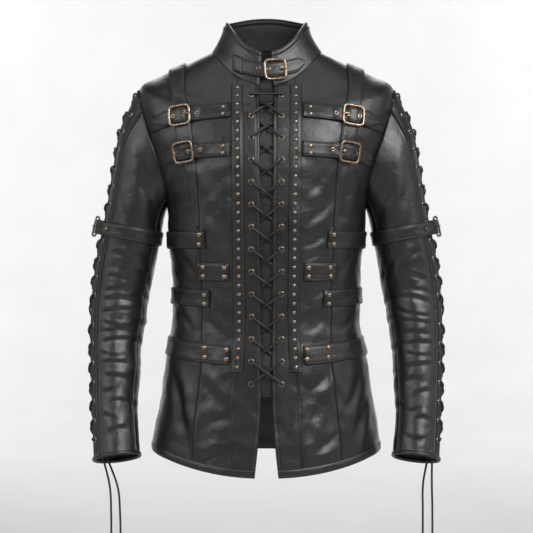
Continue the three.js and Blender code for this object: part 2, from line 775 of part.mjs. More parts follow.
function collar() {
  const grid = steps(0.06, COLLAR.last, 3).map((t) => {
    const start = angleAt(COLLAR, column(COLLAR, "edge", t), t);
    return steps(start, 360 - start, 26).map((angle) => onRing(COLLAR, angle, t));
  });
  return wall(grid, 0, 3.2);
}

const COLLAR_STRAP = [[-55, -6], [-42, -13], [-20, -18.5], [0, -20], [15, -19.5], [34, -16], [52, -11], [66, -5]];
const COLLAR_BUCKLE_X = 15;

function collarStrap() {
  const count = 12;
  const centre = along(COLLAR_STRAP, count);
  const grid = centre.map((p, i) => {
    const width = i === count ? 8 : 26;
    return [-0.5, 0, 0.5].map((side) => onFront(COLLAR, p.x, p.z + side * width));
  });
  return wall(grid, LIFT + STRAP, STRAP, { inset: 0 });
}

function collarBuckle() {
  const at = onFront(COLLAR, COLLAR_BUCKLE_X, -19.5);
  const next = onFront(COLLAR, COLLAR_BUCKLE_X - 8, -20).point;
  return buckle(at, next.sub(at.point).normalize(), 0, LIFT + STRAP - 0.3, 0);
}

// Sleeves

const SLEEVE_RINGS = [0, 0.35, 0.8, 1.4, 2.1, 2.9, 3.7, 4.4, 4.75, 5.12, 5.34, 5.55, 5.75, 5.95, 6.2, 6.5, 7.1, 7.75, 8.4,
  9];

// The gusset starts below the shoulder tip
const GUSSET_RINGS = SLEEVE_RINGS.filter((s, i) => i > 0 && (i % 2 === 1 || s === CUFF_ROW));

function sleeveWall(angles, rings, lift, options) {
  return wall(rings.map((s) => angles.map((angle) => onSleeve(angle, s))), lift, WALL, options);
}

// The eyelet rows along the outer side, evenly spaced down the line at an angle
function armRows(angle) {
  const track = steps(0, CUFF_ROW, 360).map((s) => ({ s, z: sleevePoint(angle, s).z, point: sleevePoint(angle, s) }));
  let run = 0;
  const runs = track.map((here, i) => {
    if (i > 0) run += here.point.distanceTo(track[i - 1].point);
    return run;
  });
  const runAt = (z) => runs[track.findIndex((here) => here.z <= z)];
  const ringAt = (distance) => track[runs.findIndex((value) => value >= distance)].s;
  const upper = steps(runAt(-66), runAt(-406), UPPER_ROWS - 1).map(ringAt);
  const lower = steps(runAt(-456), runAt(-651), LOWER_ROWS - 1).map(ringAt);
  return [...upper, ...lower];
}

// Both halves of the lace on a sleeve, from the last eyelets up one way and down the other
function armLace() {
  const front = armRows(ARM_EYELET);
  const back = armRows(-ARM_EYELET);
  const radius = LACE / 2;
  const place = (angle, s, lift) => {
    const at = onSleeve(angle, s);
    return at.point.addScaledVector(at.normal, lift + radius);
  };
  const half = (startFront, over) => {
    const points = [];
    for (let k = 0; k < front.length; k += 1) {
      const onFrontRow = startFront === (k % 2 === 0);
      points.push(place(onFrontRow ? ARM_EYELET : -ARM_EYELET, onFrontRow ? front[k] : back[k], 4.0));
      if (k === front.length - 1) break;
      const between = (front[k] + front[k + 1] + back[k] + back[k + 1]) / 4;
      points.push(place(0, between, over ? 6.4 : 2.4));
    }
    return points;
  };
  const one = half(true, true);
  const two = half(false, false);
  const bar = place(0, (front[0] + back[0]) / 2, 2.6);
  return cord([...one.reverse(), bar, ...two], LACE, 4);
}

// The arm strap goes once round, over the lace on the outer side, and its tip lies over its start.
// Each station is an angle, counted on past the full turn, and how far the outer face stands off.
const ARM_STRAP_STATIONS = [
  [-29, 10.8], [-44, 10], [-55, 3.9], [-70, 3.6], [-90, 3.6], [-119, 3.6], [-148, 3.6], [-180, 3.6], [-212, 3.6], [-241, 3.6],
  [-270, 3.6], [-290, 3.6], [-310, 4.2], [-325, 10.2], [-338, 11.8], [-360, 13.8], [-380, 17.8], [-397, 14.2],
  [-412, 8],
];
const ARM_BUCKLE_BASE = 9.3;

function armStrapHeight(angle) {
  return -299 + 10 * Math.cos(THREE.MathUtils.degToRad(angle));
}

function armStrap() {
  const grid = ARM_STRAP_STATIONS.map(([angle], i) => {
    const width = i === ARM_STRAP_STATIONS.length - 1 ? ARM_STRAP * 0.3 : ARM_STRAP;
    return [-0.5, 0, 0.5].map((side) =>
      onSleeve(angle, sleeveRing(angle, armStrapHeight(angle) + side * width)));
  });
  return wall(grid, (i) => ARM_STRAP_STATIONS[i][1], STRAP, { inset: 0 });
}

function armBuckle() {
  const at = onSleeve(2, sleeveRing(2, armStrapHeight(2)));
  const next = onSleeve(-8, sleeveRing(-8, armStrapHeight(-8))).point;
  return buckle(at, next.sub(at.point).normalize(), 0.105, ARM_BUCKLE_BASE, 4.8);
}

function cuffBinding() {
  const ring = steps(0, 360, 20).slice(0, 20);
  const rows = [CUFF_ROW, CUFF_ROW - CUFF_BAND / 60];
  const grid = rows.map((s) => ring.map((angle) => onSleeve(angle, s)));
  return wall(grid, 0.5 + WALL, WALL, { loop: true, inset: 0 });
}

// The front lace. Each step from a row to the next is one of four kinds: out of the inside and over the
// far edge, under both edges, over the near edge and under the far one, and over both.
const LACE_STEPS = ["rise", "rise", "under", "dive", "dive", "dive", "dive", "dive", "dive", "dive", "dive", "dive",
  "over"];
const INSIDE = -4.4;
const OUTSIDE = 2.4;

function laceHeights(kind, onTop) {
  const heights = {
    rise: [INSIDE, -4.1, onTop ? 0.6 : -3.4, 2.6, OUTSIDE],
    under: [INSIDE, -4.2, onTop ? -0.4 : -4.5, -4.2, INSIDE],
    dive: [OUTSIDE, 2.4, onTop ? 1.2 : -2.8, -4.2, INSIDE],
    over: [OUTSIDE, onTop ? 4.4 : 2.4, onTop ? 6.4 : 2.3, onTop ? 4.4 : 2.4, OUTSIDE],
  };
  return heights[kind];
}

function frontLace() {
  const half = (side, onTop) => {
    const points = [];
    LACE_STEPS.forEach((kind, k) => {
      const from = k % 2 === 0 ? side : -side;
      const z0 = frontRowZ(k);
      const z1 = frontRowZ(k + 1);
      const near = column(BODY, "edge", 5) - 1.6;
      const places = [FRONT_EYELET_X, near, 0, -near, -FRONT_EYELET_X];
      laceHeights(kind, onTop).forEach((lift, i) => {
        const x = from * places[i];
        const z = mix(z0, z1, (FRONT_EYELET_X - places[i]) / (2 * FRONT_EYELET_X));
        const at = onFront(BODY, x, z);
        points.push(at.point.addScaledVector(at.normal, lift));
      });
    });
    const end = onFront(BODY, points.at(-1).x, FRONT_BOTTOM_Z);
    points.push(end.point.addScaledVector(end.normal, INSIDE));
    return points;
  };
  const startOf = (side) => {
    const at = onFront(BODY, side * FRONT_EYELET_X, FRONT_TOP_Z);
    return at.point.addScaledVector(at.normal, OUTSIDE);
  };
  const middle = onFront(BODY, 0, FRONT_TOP_Z);
  const bar = middle.point.addScaledVector(middle.normal, 2.3);
  return cord([...half(-1, true).reverse(), startOf(-1), bar, startOf(1), ...half(1, false)], LACE, 4);
}

// The sleeve laces' free ends hang inside the sleeve and out of the cuff. Each starts against the inner
// face of the gusset at its last eyelet, lies on it for a way, and goes on through a few points.
const END_LIFT = -(WALL + GUSSET_DROP + WALL + LACE / 2 + 1.3);
const FREE_ENDS = {
  lace_end_front_left: { side: 1, angle: ARM_EYELET, hang: [[282, -70, -720], [283, -70, -776], [283, -70, END_Z]] },
  lace_end_back_left: { side: 1, angle: -ARM_EYELET, hang: [[271, -35, -728], [270, -36, -780], [270, -36, END_Z]] },
  lace_end_front_right: {
    side: -1, angle: ARM_EYELET, hang: [[-268, -70, -728], [-265, -70, -780], [-265, -70, END_Z]],
  },
  lace_end_back_right: {
    side: -1, angle: -ARM_EYELET, hang: [[-258, -36, -734], [-253, -36, -784], [-252, -36, END_Z]],
  },
};

function freeEnd({ side, angle, hang }) {
  const last = armRows(angle).at(-1);
  const lying = [0, 0.25].map((further) => {
    const at = onSleeve(angle, last + further);
    const point = at.point.addScaledVector(at.normal, END_LIFT - 5 * further);
    return new THREE.Vector3(side * point.x, point.y, point.z);
  });
  const route = [...lying, ...hang.map((p) => new THREE.Vector3(...p))];
  const curve = new THREE.CatmullRomCurve3(route, false, "centripetal");
  const count = Math.round(curve.getLength() / END_STEP);
  return cord(curve.getSpacedPoints(count), LACE, END_SIDES);
}

addPair("placket", placket(), LEATHER);
addPair("front_panel", frontPanel(), LEATHER);
addPair("side_front_panel", sidePanel(false), LEATHER);
addPair("side_back_panel", sidePanel(true), LEATHER);
add("back_panel", backPanel(), LEATHER);
add("tongue", tongue(), TONGUE_LEATHER);
addPair("stud_strip", studStrip(), ANTIQUE_BRASS);
for (const spec of CHEST) {
  addPair(`chest_strap_${spec.name}`, chestStrap(spec), LEATHER);
  addPair(`chest_base_${spec.name}`, chestBase(spec), LEATHER);
  addPair(`chest_buckle_${spec.name}`, chestBuckle(spec), ANTIQUE_BRASS);
}
addPair("shoulder_strap", shoulderStrap(), LEATHER);
sideStraps();
add("hem_binding", hemBinding(), LEATHER);
add("collar", collar(), LEATHER);
add("collar_strap", collarStrap(), LEATHER);
add("collar_buckle", collarBuckle(), ANTIQUE_BRASS);
addPair("top_sleeve", sleeveWall(TOP_SLEEVE, SLEEVE_RINGS, 0), LEATHER);
addPair("under_sleeve", sleeveWall(UNDER_SLEEVE, SLEEVE_RINGS, 0), LEATHER);
addPair("sleeve_band_front", sleeveWall([BAND_INNER, BAND_OUTER], SLEEVE_RINGS, 0), LEATHER);
addPair("sleeve_band_back", sleeveWall([-BAND_OUTER, -BAND_INNER], SLEEVE_RINGS, 0), LEATHER);
addPair("sleeve_gusset", sleeveWall([-GUSSET_HALF, -BAND_INNER, BAND_INNER, GUSSET_HALF], GUSSET_RINGS,
  -WALL - GUSSET_DROP), LEATHER);
addPair("sleeve_lace", armLace(), CORD);
addPair("arm_strap", armStrap(), LEATHER);
addPair("arm_buckle", armBuckle(), ANTIQUE_BRASS);
addPair("cuff_binding", cuffBinding(), LEATHER);
add("front_lace", frontLace(), CORD);
for (const [name, spec] of Object.entries(FREE_ENDS)) add(name, freeEnd(spec), CORD);

export default jacket;
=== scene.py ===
"""The looks of a black leather jacket that laces up the front and down both outer sleeves.

Every piece is built on the same surfaces as the solids: rings of the body, the collar and the sleeves.
Lengths are in millimetres until a mesh is made, and left is the wearer's left, +X.
"""

import math

import bpy
import numpy as np
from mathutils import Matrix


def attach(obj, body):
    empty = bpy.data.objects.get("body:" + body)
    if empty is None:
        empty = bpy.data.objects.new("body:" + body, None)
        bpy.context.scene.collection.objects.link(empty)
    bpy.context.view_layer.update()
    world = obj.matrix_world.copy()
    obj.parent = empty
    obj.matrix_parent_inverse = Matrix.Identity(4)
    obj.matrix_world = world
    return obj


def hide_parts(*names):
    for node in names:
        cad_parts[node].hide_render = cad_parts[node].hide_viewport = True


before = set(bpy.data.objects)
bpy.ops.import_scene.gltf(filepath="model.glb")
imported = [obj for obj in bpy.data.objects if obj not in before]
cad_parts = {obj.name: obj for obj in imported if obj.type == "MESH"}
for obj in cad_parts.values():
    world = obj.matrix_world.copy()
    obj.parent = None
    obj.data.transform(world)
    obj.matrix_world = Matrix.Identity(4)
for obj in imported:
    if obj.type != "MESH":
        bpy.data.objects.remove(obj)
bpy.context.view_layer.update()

MM = 0.001
SEED = 7
SIDES = ((1, "left"), (-1, "right"))

# Leather, the same sizes as in the solids
WALL = 1.8
STRAP = 2.4
COLLAR_WALL = 3.2
LIFT = 0.8
LACE = 3.6

# Eyelets, the leather behind them, and the height at which the free lace ends stop
FRONT_EYELET_X = 25.5
FRONT_ROW_Z = np.linspace(-65, -554, 14)
TONGUE_DROP = 7.4
ARM_EYELET = 33
UPPER_ARM_ROWS = (-66, -406, 12)
LOWER_ARM_ROWS = (-456, -651, 7)
GUSSET_DROP = 1.7
END_Z = -832

# Camera: straight ahead, 2.8 m in front, level with the middle of the picture
CAMERA_Y = -2.8
CAMERA_Z = -0.357
LENS = 108.07

Z_FRONT, Z_SIDE, Z_BACK, HALF, FRONT, BACK, SQUARE, EDGE, SEAM, PRINCESS = range(10)
BODY = np.array([
    [-711, -675, -690, 199, 134, 130, 2.1, 20, 60, 127],
    [-655, -636, -645, 195, 130, 126, 2.1, 14, 58, 124],
    [-590, -580, -585, 184, 124, 117, 2.15, 9.5, 56, 117.5],
    [-522, -515, -518, 174, 118, 106, 2.2, 9.3, 49, 110.5],
    [-455, -452, -452, 164, 113, 98, 2.2, 9.4, 46, 109.5],
    [-385, -385, -385, 163, 117, 104, 2.25, 9.8, 46, 110.5],
    [-310, -310, -310, 170, 123, 114, 2.3, 10.2, 47, 114],
    [-245, -243, -243, 173, 126, 119, 2.45, 10.5, 47.5, 120],
    [-190, -188, -186, 190, 125, 121, 2.6, 10.8, 48.5, 129],
    [-140, -122, -126, 212, 118, 119, 2.7, 11, 49, 139],
    [-100, -50, -78, 222, 105, 110, 2.5, 11.3, 49.5, 147],
    [-78, -25, -38, 184, 88, 96, 2.3, 11.6, 50, 154],
    [-61, -3, -2, 137, 74, 83, 2.2, 12, 50, 157],
    [-47, 17, 30, 96, 62, 72, 2.1, 12.4, 50, 157],
])
NECK_ROW = 13
TIP_ROW = 10
ARMPIT_ROW = 7
ARMHOLE_SPREAD = 22
COLLAR = np.array([
    [-47, 17, 30, 96, 62, 72, 2.1, 11.5],
    [-17, 44, 58, 80, 60, 66, 2.1, 9.5],
    [13, 71, 86, 72.5, 55, 60, 2.1, 7.5],
])
OUT_X, OUT_Z, IN_X, IN_Z, MIDDLE_Y, DEPTH, LEAN = range(7)
SLEEVE = np.array([
    [222, -50, 173, -243, 0, 61, 0],
    [254, -108, 182, -285, 2, 63, 0],
    [268, -176, 189, -323, 4, 62, 0],
    [281, -255, 196, -357, 6, 59, 0],
    [297, -330, 202, -392, 8, 56, 0],
    [306, -400, 209, -434, 6, 53, 4],
    [308, -480, 217, -492, -6, 49, 9],
    [305, -560, 221, -558, -22, 45, 12],
    [301, -630, 222, -621, -39, 43, 14],
    [297, -690, 216, -680, -55, 43, 15],
], float)
CUFF_ROW = 9

# Folds of the body: two ends as (x, z) on the front, or on the back as seen through the front, then how
# far the line bends, how deep it is and how wide
FRONT_FOLDS = [
    [-168, -214, -148, -198, 2, 2.0, 6],
    [-168, -252, -136, -234, 3, 2.6, 6],
    [-162, -284, -128, -262, 3, 2.6, 7],
    [-124, -196, -117, -292, 4, 1.8, 9],
    [-104, -232, -84, -290, -5, 2.0, 9],
    [-78, -210, -62, -262, 3, 1.4, 7],
    [-152, -332, -116, -384, 5, 2.2, 9],
    [-96, -388, -58, -420, 4, 1.6, 8],
    [-152, -430, -122, -470, 4, 2.0, 8],
    [-104, -436, -62, -478, -4, 1.8, 9],
    [-162, -528, -142, -640, 7, 3.4, 12],
    [-146, -545, -126, -676, -6, 2.8, 11],
    [-112, -548, -76, -600, 5, 2.4, 10],
    [-114, -640, -68, -610, 5, 2.4, 12],
    [-104, -690, -64, -660, 4, 2.0, 9],
    [-46, -600, -30, -650, 3, 1.4, 8],
    [166, -210, 146, -196, 2, 2.2, 6],
    [167, -244, 132, -232, -3, 2.8, 7],
    [160, -276, 124, -268, 3, 2.4, 7],
    [126, -190, 112, -250, -4, 2.0, 9],
    [98, -196, 70, -240, 4, 2.0, 8],
    [106, -250, 62, -282, 5, 2.6, 9],
    [100, -296, 58, -324, 5, 2.4, 8],
    [92, -330, 60, -344, 3, 1.8, 6],
    [150, -334, 118, -380, -4, 2.0, 9],
    [104, -392, 66, -426, -4, 2.0, 8],
    [150, -436, 118, -466, 4, 2.2, 8],
    [100, -440, 64, -470, 3, 1.6, 8],
    [108, -528, 70, -566, 5, 2.8, 10],
    [118, -584, 96, -656, -7, 2.2, 12],
    [84, -592, 66, -640, 4, 2.0, 9],
    [120, -632, 70, -672, 4, 2.2, 10],
    [158, -532, 134, -600, 5, 2.8, 11],
    [172, -590, 148, -664, -6, 2.6, 12],
    [40, -596, 22, -640, 3, 1.4, 8],
]
BACK_FOLDS = [
    [-166, -214, -120, -190, 4, 2.6, 8],
    [-166, -250, -112, -226, 4, 2.8, 9],
    [-158, -284, -104, -270, -4, 2.4, 9],
    [-140, -336, -78, -352, 5, 2.4, 9],
    [-60, -150, -52, -250, -6, 1.8, 12],
    [-96, -430, -30, -446, 5, 2.6, 9],
    [-140, -440, -112, -470, 3, 2.2, 8],
    [-70, -466, -10, -474, 4, 2.0, 8],
    [-128, -530, -96, -640, 7, 3.4, 13],
    [-70, -540, -52, -660, -7, 3.0, 13],
    [-160, -540, -150, -650, 6, 2.8, 12],
    [168, -218, 116, -196, -4, 2.4, 8],
    [164, -256, 108, -236, -4, 3.0, 9],
    [156, -288, 96, -268, 4, 2.2, 9],
    [142, -340, 70, -346, -5, 2.2, 9],
    [66, -146, 48, -244, 6, 1.8, 12],
    [100, -426, 22, -452, 5, 2.8, 9],
    [146, -436, 110, -464, 3, 2.0, 8],
    [60, -470, 8, -462, -4, 1.8, 8],
    [120, -530, 104, -646, -7, 3.2, 13],
    [60, -536, 44, -670, 7, 3.2, 14],
    [12, -528, -8, -640, 5, 2.4, 12],
    [164, -546, 146, -640, -5, 2.6, 12],
]

# Folds of a sleeve: two ends as (angle, z), then bend, depth and width
LEFT_SLEEVE_FOLDS = [
    [104, -150, 150, -250, 9, 2.8, 10],
    [72, -168, 112, -262, 6, 2.2, 10],
    [98, -226, 158, -322, 8, 3.0, 10],
    [66, -214, 96, -284, 4, 1.8, 8],
    [64, -328, 122, -366, 5, 2.6, 8],
    [100, -336, 168, -392, 5, 2.8, 9],
    [58, -386, 104, -372, 4, 3.0, 6],
    [58, -404, 96, -398, 3, 2.2, 5],
    [56, -424, 128, -412, 7, 3.4, 6],
    [62, -442, 134, -430, -4, 2.8, 5],
    [58, -458, 128, -452, 4, 3.0, 5],
    [66, -474, 126, -472, 3, 2.4, 5],
    [57, -490, 130, -494, 4, 3.0, 5.5],
    [64, -509, 118, -506, -3, 2.4, 5],
    [58, -528, 132, -536, 6, 3.6, 7],
    [84, -550, 126, -556, 4, 2.2, 6],
    [60, -572, 112, -582, 6, 2.8, 7],
    [88, -596, 134, -604, -4, 2.4, 7],
    [62, -622, 104, -616, 4, 2.4, 7],
    [76, -650, 132, -644, -4, 2.6, 8],
    [134, -410, 206, -442, 4, 3.0, 7],
    [140, -446, 200, -470, 4, 2.6, 7],
    [136, -492, 196, -506, -4, 2.6, 7],
    [140, -540, 194, -552, 4, 2.2, 8],
    [138, -596, 190, -610, 4, 2.0, 8],
    [232, -420, 304, -436, 5, 2.4, 9],
    [226, -462, 300, -468, -4, 2.8, 9],
    [232, -510, 302, -500, 4, 2.4, 9],
    [228, -566, 298, -580, 5, 2.2, 10],
    [236, -634, 302, -622, 4, 2.0, 9],
    [214, -170, 262, -262, -8, 2.8, 11],
    [238, -250, 296, -330, -6, 2.4, 10],
    [216, -320, 292, -364, -5, 2.4, 9],
]
RIGHT_SLEEVE_FOLDS = [
    [110, -158, 152, -262, -8, 3.0, 10],
    [74, -150, 104, -240, 6, 2.0, 10],
    [94, -214, 150, -300, 8, 2.8, 10],
    [62, -236, 92, -290, -4, 1.8, 8],
    [62, -334, 118, -352, 5, 2.8, 7],
    [96, -348, 166, -398, 6, 3.0, 9],
    [60, -374, 112, -384, 4, 2.8, 6],
    [57, -398, 108, -388, -4, 2.6, 6],
    [60, -416, 130, -420, 6, 3.2, 6],
    [56, -438, 120, -432, 4, 2.8, 5],
    [64, -452, 134, -460, -4, 3.0, 5],
    [58, -470, 122, -468, 3, 2.6, 5],
    [62, -488, 132, -484, 4, 2.8, 5],
    [58, -505, 116, -510, -3, 2.6, 5.5],
    [60, -524, 128, -526, 5, 3.2, 6],
    [66, -545, 130, -552, 4, 2.8, 6],
    [58, -570, 108, -562, -4, 2.4, 7],
    [84, -588, 132, -594, 5, 2.8, 7],
    [60, -612, 100, -620, 4, 2.2, 7],
    [78, -640, 130, -634, 4, 2.8, 8],
    [132, -404, 200, -436, 4, 3.0, 7],
    [138, -452, 204, -462, -4, 2.6, 7],
    [134, -486, 192, -502, 4, 2.8, 7],
    [142, -534, 196, -538, 4, 2.2, 8],
    [136, -588, 188, -602, -4, 2.2, 8],
    [228, -414, 300, -426, 5, 2.6, 9],
    [232, -456, 304, -458, -4, 2.6, 9],
    [226, -500, 296, -508, 4, 2.6, 9],
    [234, -556, 300, -568, -5, 2.2, 10],
    [230, -620, 298, -628, 4, 2.2, 9],
    [212, -180, 258, -270, -8, 2.6, 11],
    [236, -242, 292, -322, 6, 2.4, 10],
    [214, -330, 290, -354, -5, 2.4, 9],
]


# Surfaces, with the small steps that their normals are taken over

ANGLE_STEP = 0.4
RING_STEP = 0.01
SLEEVE_ANGLE_STEP = 1
SLEEVE_RING_STEP = 0.02
HALVINGS = 40


def column(rows, k, t):
    """A column of a table at any height, on a smooth curve through its rows."""
    last = len(rows) - 1
    t = np.clip(t, 0, last)
    i = np.minimum(t.astype(int), last - 1)
    u = t - i
    values = rows[:, k]
    p0, p1 = values[np.maximum(i - 1, 0)], values[i]
    p2, p3 = values[i + 1], values[np.minimum(i + 2, last)]
    bend = (2 * p0 - 5 * p1 + 4 * p2 - p3) * u * u
    twist = (3 * p1 - p0 - 3 * p2 + p3) * u ** 3
    return 0.5 * (2 * p1 + (p2 - p0) * u + bend + twist)


def mix(a, b, u):
    """From a to b by the share u."""
    return a + (b - a) * u


def smooth(low, high, x):
    """0 below low, 1 above high and a soft step between."""
    u = np.clip((x - low) / (high - low), 0, 1)
    return u * u * (3 - 2 * u)


def bell(x, middle, width):
    """A soft rise to 1 round a middle."""
    return np.exp(-((x - middle) / width) ** 2)


def mirrored(points, side):
    """Points of the wearer's left, or with a side of -1 their mirror image on the right."""
    return points * np.array([side, 1, 1])


def both(a, b):
    """Two arrays of numbers in one shape."""
    return np.broadcast_arrays(np.asarray(a, float), np.asarray(b, float))


def ring_point(rows, angle, t):
    """A point of the body or the collar, by angle from the middle of the front and by ring."""
    angle, t = both(angle, t)
    sin, cos = np.sin(np.radians(angle)), np.cos(np.radians(angle))
    power = 2 / column(rows, SQUARE, t)
    side = column(rows, Z_SIDE, t)
    end = np.where(cos > 0, column(rows, Z_FRONT, t), column(rows, Z_BACK, t))
    x = np.sign(sin) * np.abs(sin) ** power * column(rows, HALF, t)
    reach = np.abs(cos) ** power
    y = reach * np.where(cos > 0, -column(rows, FRONT, t), column(rows, BACK, t))
    return np.stack([x, y, side + (end - side) * cos * cos], -1)


def unit(v):
    """Vectors of length one."""
    return v / np.maximum(np.linalg.norm(v, axis=-1, keepdims=True), 1e-9)


def on_ring(rows, angle, t):
    """Points of the body or collar with their outward normals."""
    angle, t = both(angle, t)
    last = len(rows) - 1
    across = ring_point(rows, angle + ANGLE_STEP, t) - ring_point(rows, angle - ANGLE_STEP, t)
    above, below = np.minimum(t + RING_STEP, last), np.maximum(t - RING_STEP, 0)
    up = ring_point(rows, angle, above) - ring_point(rows, angle, below)
    return ring_point(rows, angle, t), unit(np.cross(across, up))


def angle_at(rows, x, t):
    """The angle at which a ring is x from the middle, in front."""
    x, t = both(x, t)
    share = np.minimum(1, np.abs(x) / column(rows, HALF, t))
    return np.sign(x) * np.degrees(np.arcsin(share ** (column(rows, SQUARE, t) / 2)))


def solve(low, high, target, rising):
    """Where a rising function passes each target."""
    a, b = np.full(np.shape(target), float(low)), np.full(np.shape(target), float(high))
    for _ in range(HALVINGS):
        middle = (a + b) / 2
        below = rising(middle) < target
        a, b = np.where(below, middle, a), np.where(below, b, middle)
    return (a + b) / 2


def front_ring(rows, x, z):
    """The angle and ring of points of the front given by x and z."""
    x, z = both(x, z)
    t = solve(0, len(rows) - 1, z, lambda at: ring_point(rows, angle_at(rows, x, at), at)[..., 2])
    return angle_at(rows, x, t), t


def on_front(rows, x, z):
    """Points of the front at x and z, with normals."""
    return on_ring(rows, *front_ring(rows, x, z))


def on_belt(angle, z):
    """Points of the body at an angle and z, with normals."""
    angle, z = both(angle, z)
    t = solve(0, NECK_ROW, z, lambda at: ring_point(BODY, angle, at)[..., 2])
    return on_ring(BODY, angle, t)


def armhole(angle):
    """The armhole seam as the body's angle and ring, by the sleeve's angle."""
    a = np.radians(angle)
    return 90 - ARMHOLE_SPREAD * np.sin(a), mix(ARMPIT_ROW, TIP_ROW, 0.5 + 0.5 * np.cos(a))


def tube_point(angle, s):
    """A point of the left sleeve's own rings."""
    a, lean = np.radians(angle), np.radians(column(SLEEVE, LEAN, s))
    out_x, in_x = column(SLEEVE, OUT_X, s), column(SLEEVE, IN_X, s)
    out_z, in_z = column(SLEEVE, OUT_Z, s), column(SLEEVE, IN_Z, s)
    forward = np.sin(a) * column(SLEEVE, DEPTH, s)
    x = (out_x + in_x) / 2 + np.cos(a) * (out_x - in_x) / 2
    y = column(SLEEVE, MIDDLE_Y, s) - forward * np.cos(lean)
    z = (out_z + in_z) / 2 + np.cos(a) * (out_z - in_z) / 2 + forward * np.sin(lean)
    return np.stack([x, y, z], -1)


def sleeve_point(angle, s):
    """A point of the left sleeve, which starts on the armhole seam."""
    angle, s = both(angle, s)
    share = np.clip(1 - s, 0, 1)[..., None]
    shift = ring_point(BODY, *armhole(angle)) - tube_point(angle, np.zeros_like(s))
    return tube_point(angle, s) + shift * (share * share * (3 - 2 * share))


def on_sleeve(angle, s):
    """Points of the left sleeve with their outward normals. Ring 0 is the armhole, 9 the cuff."""
    angle, s = both(angle, s)
    round_it = sleeve_point(angle - SLEEVE_ANGLE_STEP, s) - sleeve_point(angle + SLEEVE_ANGLE_STEP, s)
    above, below = np.maximum(s - SLEEVE_RING_STEP, 0), np.minimum(s + SLEEVE_RING_STEP, CUFF_ROW)
    down = sleeve_point(angle, below) - sleeve_point(angle, above)
    return sleeve_point(angle, s), unit(np.cross(down, round_it))


def sleeve_ring(angle, z):
    """The ring of the sleeve that is at height z on the line at an angle."""
    angle, z = both(angle, z)
    return solve(0, CUFF_ROW, -z, lambda s: -sleeve_point(angle, s)[..., 2])


# Folds

WAVE_COUNT = 12
FOLD_WIDTH = 0.74
FOLD_DEPTH = 0.7
SLEEVE_FOLD_WIDTH = 0.84
SLEEVE_FOLD_DEPTH = 0.56

# Millimetres to a degree round the body and round a sleeve
ROUND_BODY = 2.6
ROUND_SLEEVE = 0.84

# The angle at which the lacing bands end
BAND_EDGE = 50


def waves(points, lengths, height, seed):
    """Soft unevenness: a sum of plane waves through space, with wave lengths between two limits."""
    rng = np.random.default_rng(seed)
    total = np.zeros(points.shape[:-1])
    for _ in range(WAVE_COUNT):
        direction = unit(rng.normal(size=3))
        length = rng.uniform(*lengths)
        total += np.sin(points @ direction * (2 * math.pi / length) + rng.uniform(0, 2 * math.pi))
    return height * total / math.sqrt(WAVE_COUNT / 2)


def fold_lines(u, v, lines):
    """Soft troughs with a ridge along one side, over lines in a plane of millimetres."""
    total = np.zeros(np.shape(u))
    for u0, v0, u1, v1, bend, depth, width in lines:
        du, dv = u1 - u0, v1 - v0
        length = math.hypot(du, dv)
        along = ((u - u0) * du + (v - v0) * dv) / length ** 2
        inside = np.clip(along, 0, 1)
        off = ((v - v0) * du - (u - u0) * dv) / length - bend * 4 * inside * (1 - inside)
        width = width * FOLD_WIDTH
        fade = smooth(-0.12, 0.28, along) * smooth(-0.12, 0.32, 1 - along)
        relief = 0.75 * bell(off, 1.9 * width, 1.25 * width) - bell(off, 0, width)
        total += FOLD_DEPTH * depth * fade * relief
    return total


def around(lines):
    """Fold lines of x and z as lines of the distance round the body and z."""
    out = []
    for x0, z0, x1, z1, *form in lines:
        (a0, a1), _ = front_ring(BODY, np.array([x0, x1]), np.array([z0, z1]))
        out.append([a0 * ROUND_BODY, z0, a1 * ROUND_BODY, z1, *form])
    return out


FRONT_LINES = around(FRONT_FOLDS)
BACK_LINES = around(BACK_FOLDS)
SLEEVE_LINES = {}
for fold_side, side_folds in ((1, LEFT_SLEEVE_FOLDS), (-1, RIGHT_SLEEVE_FOLDS)):
    SLEEVE_LINES[fold_side] = [
        [a * ROUND_SLEEVE, z0, b * ROUND_SLEEVE, z1, bend, SLEEVE_FOLD_DEPTH * deep, SLEEVE_FOLD_WIDTH * wide]
        for a, z0, b, z1, bend, deep, wide in side_folds
    ]


def body_folds(angle, points):
    """How far the body's leather stands off its smooth form, by angle from -180 to 180.

    The yoke is calmer than the rest, and so is the leather beside the front lacing.
    """
    z = points[..., 2]
    backward = np.abs(angle) > 90
    away = smooth(0, 14, np.abs(np.abs(angle) - 90))
    front = fold_lines(angle * ROUND_BODY, z, FRONT_LINES)
    back = fold_lines(np.sign(angle) * (180 - np.abs(angle)) * ROUND_BODY, z, BACK_LINES)
    calm = 1 - 0.75 * smooth(-170, -110, z)
    below_lacing = smooth(-565, -600, z)
    laced = np.maximum(smooth(36, 62, np.abs(points[..., 0]) + 100 * backward), 0.8 * below_lacing)
    broad = waves(points, (70, 150), 0.8, SEED) + waves(points, (22, 44), 0.34, SEED + 1)
    broad = broad + waves(points, (10, 18), 0.07, SEED + 3)
    return (np.where(backward, 1.3 * back, front) * away + broad) * calm * (0.25 + 0.75 * laced)


def body_lift(points):
    """How far the body's leather stands off at points of its smooth form, by their x and z."""
    x, y, z = np.moveaxis(points, -1, 0)

    def turned(t):
        angle = angle_at(BODY, x, t)
        return np.where(y < 0, angle, np.sign(x) * (180 - np.abs(angle)))

    t = solve(0, NECK_ROW, z, lambda at: ring_point(BODY, turned(at), at)[..., 2])
    return body_folds(turned(t), points)


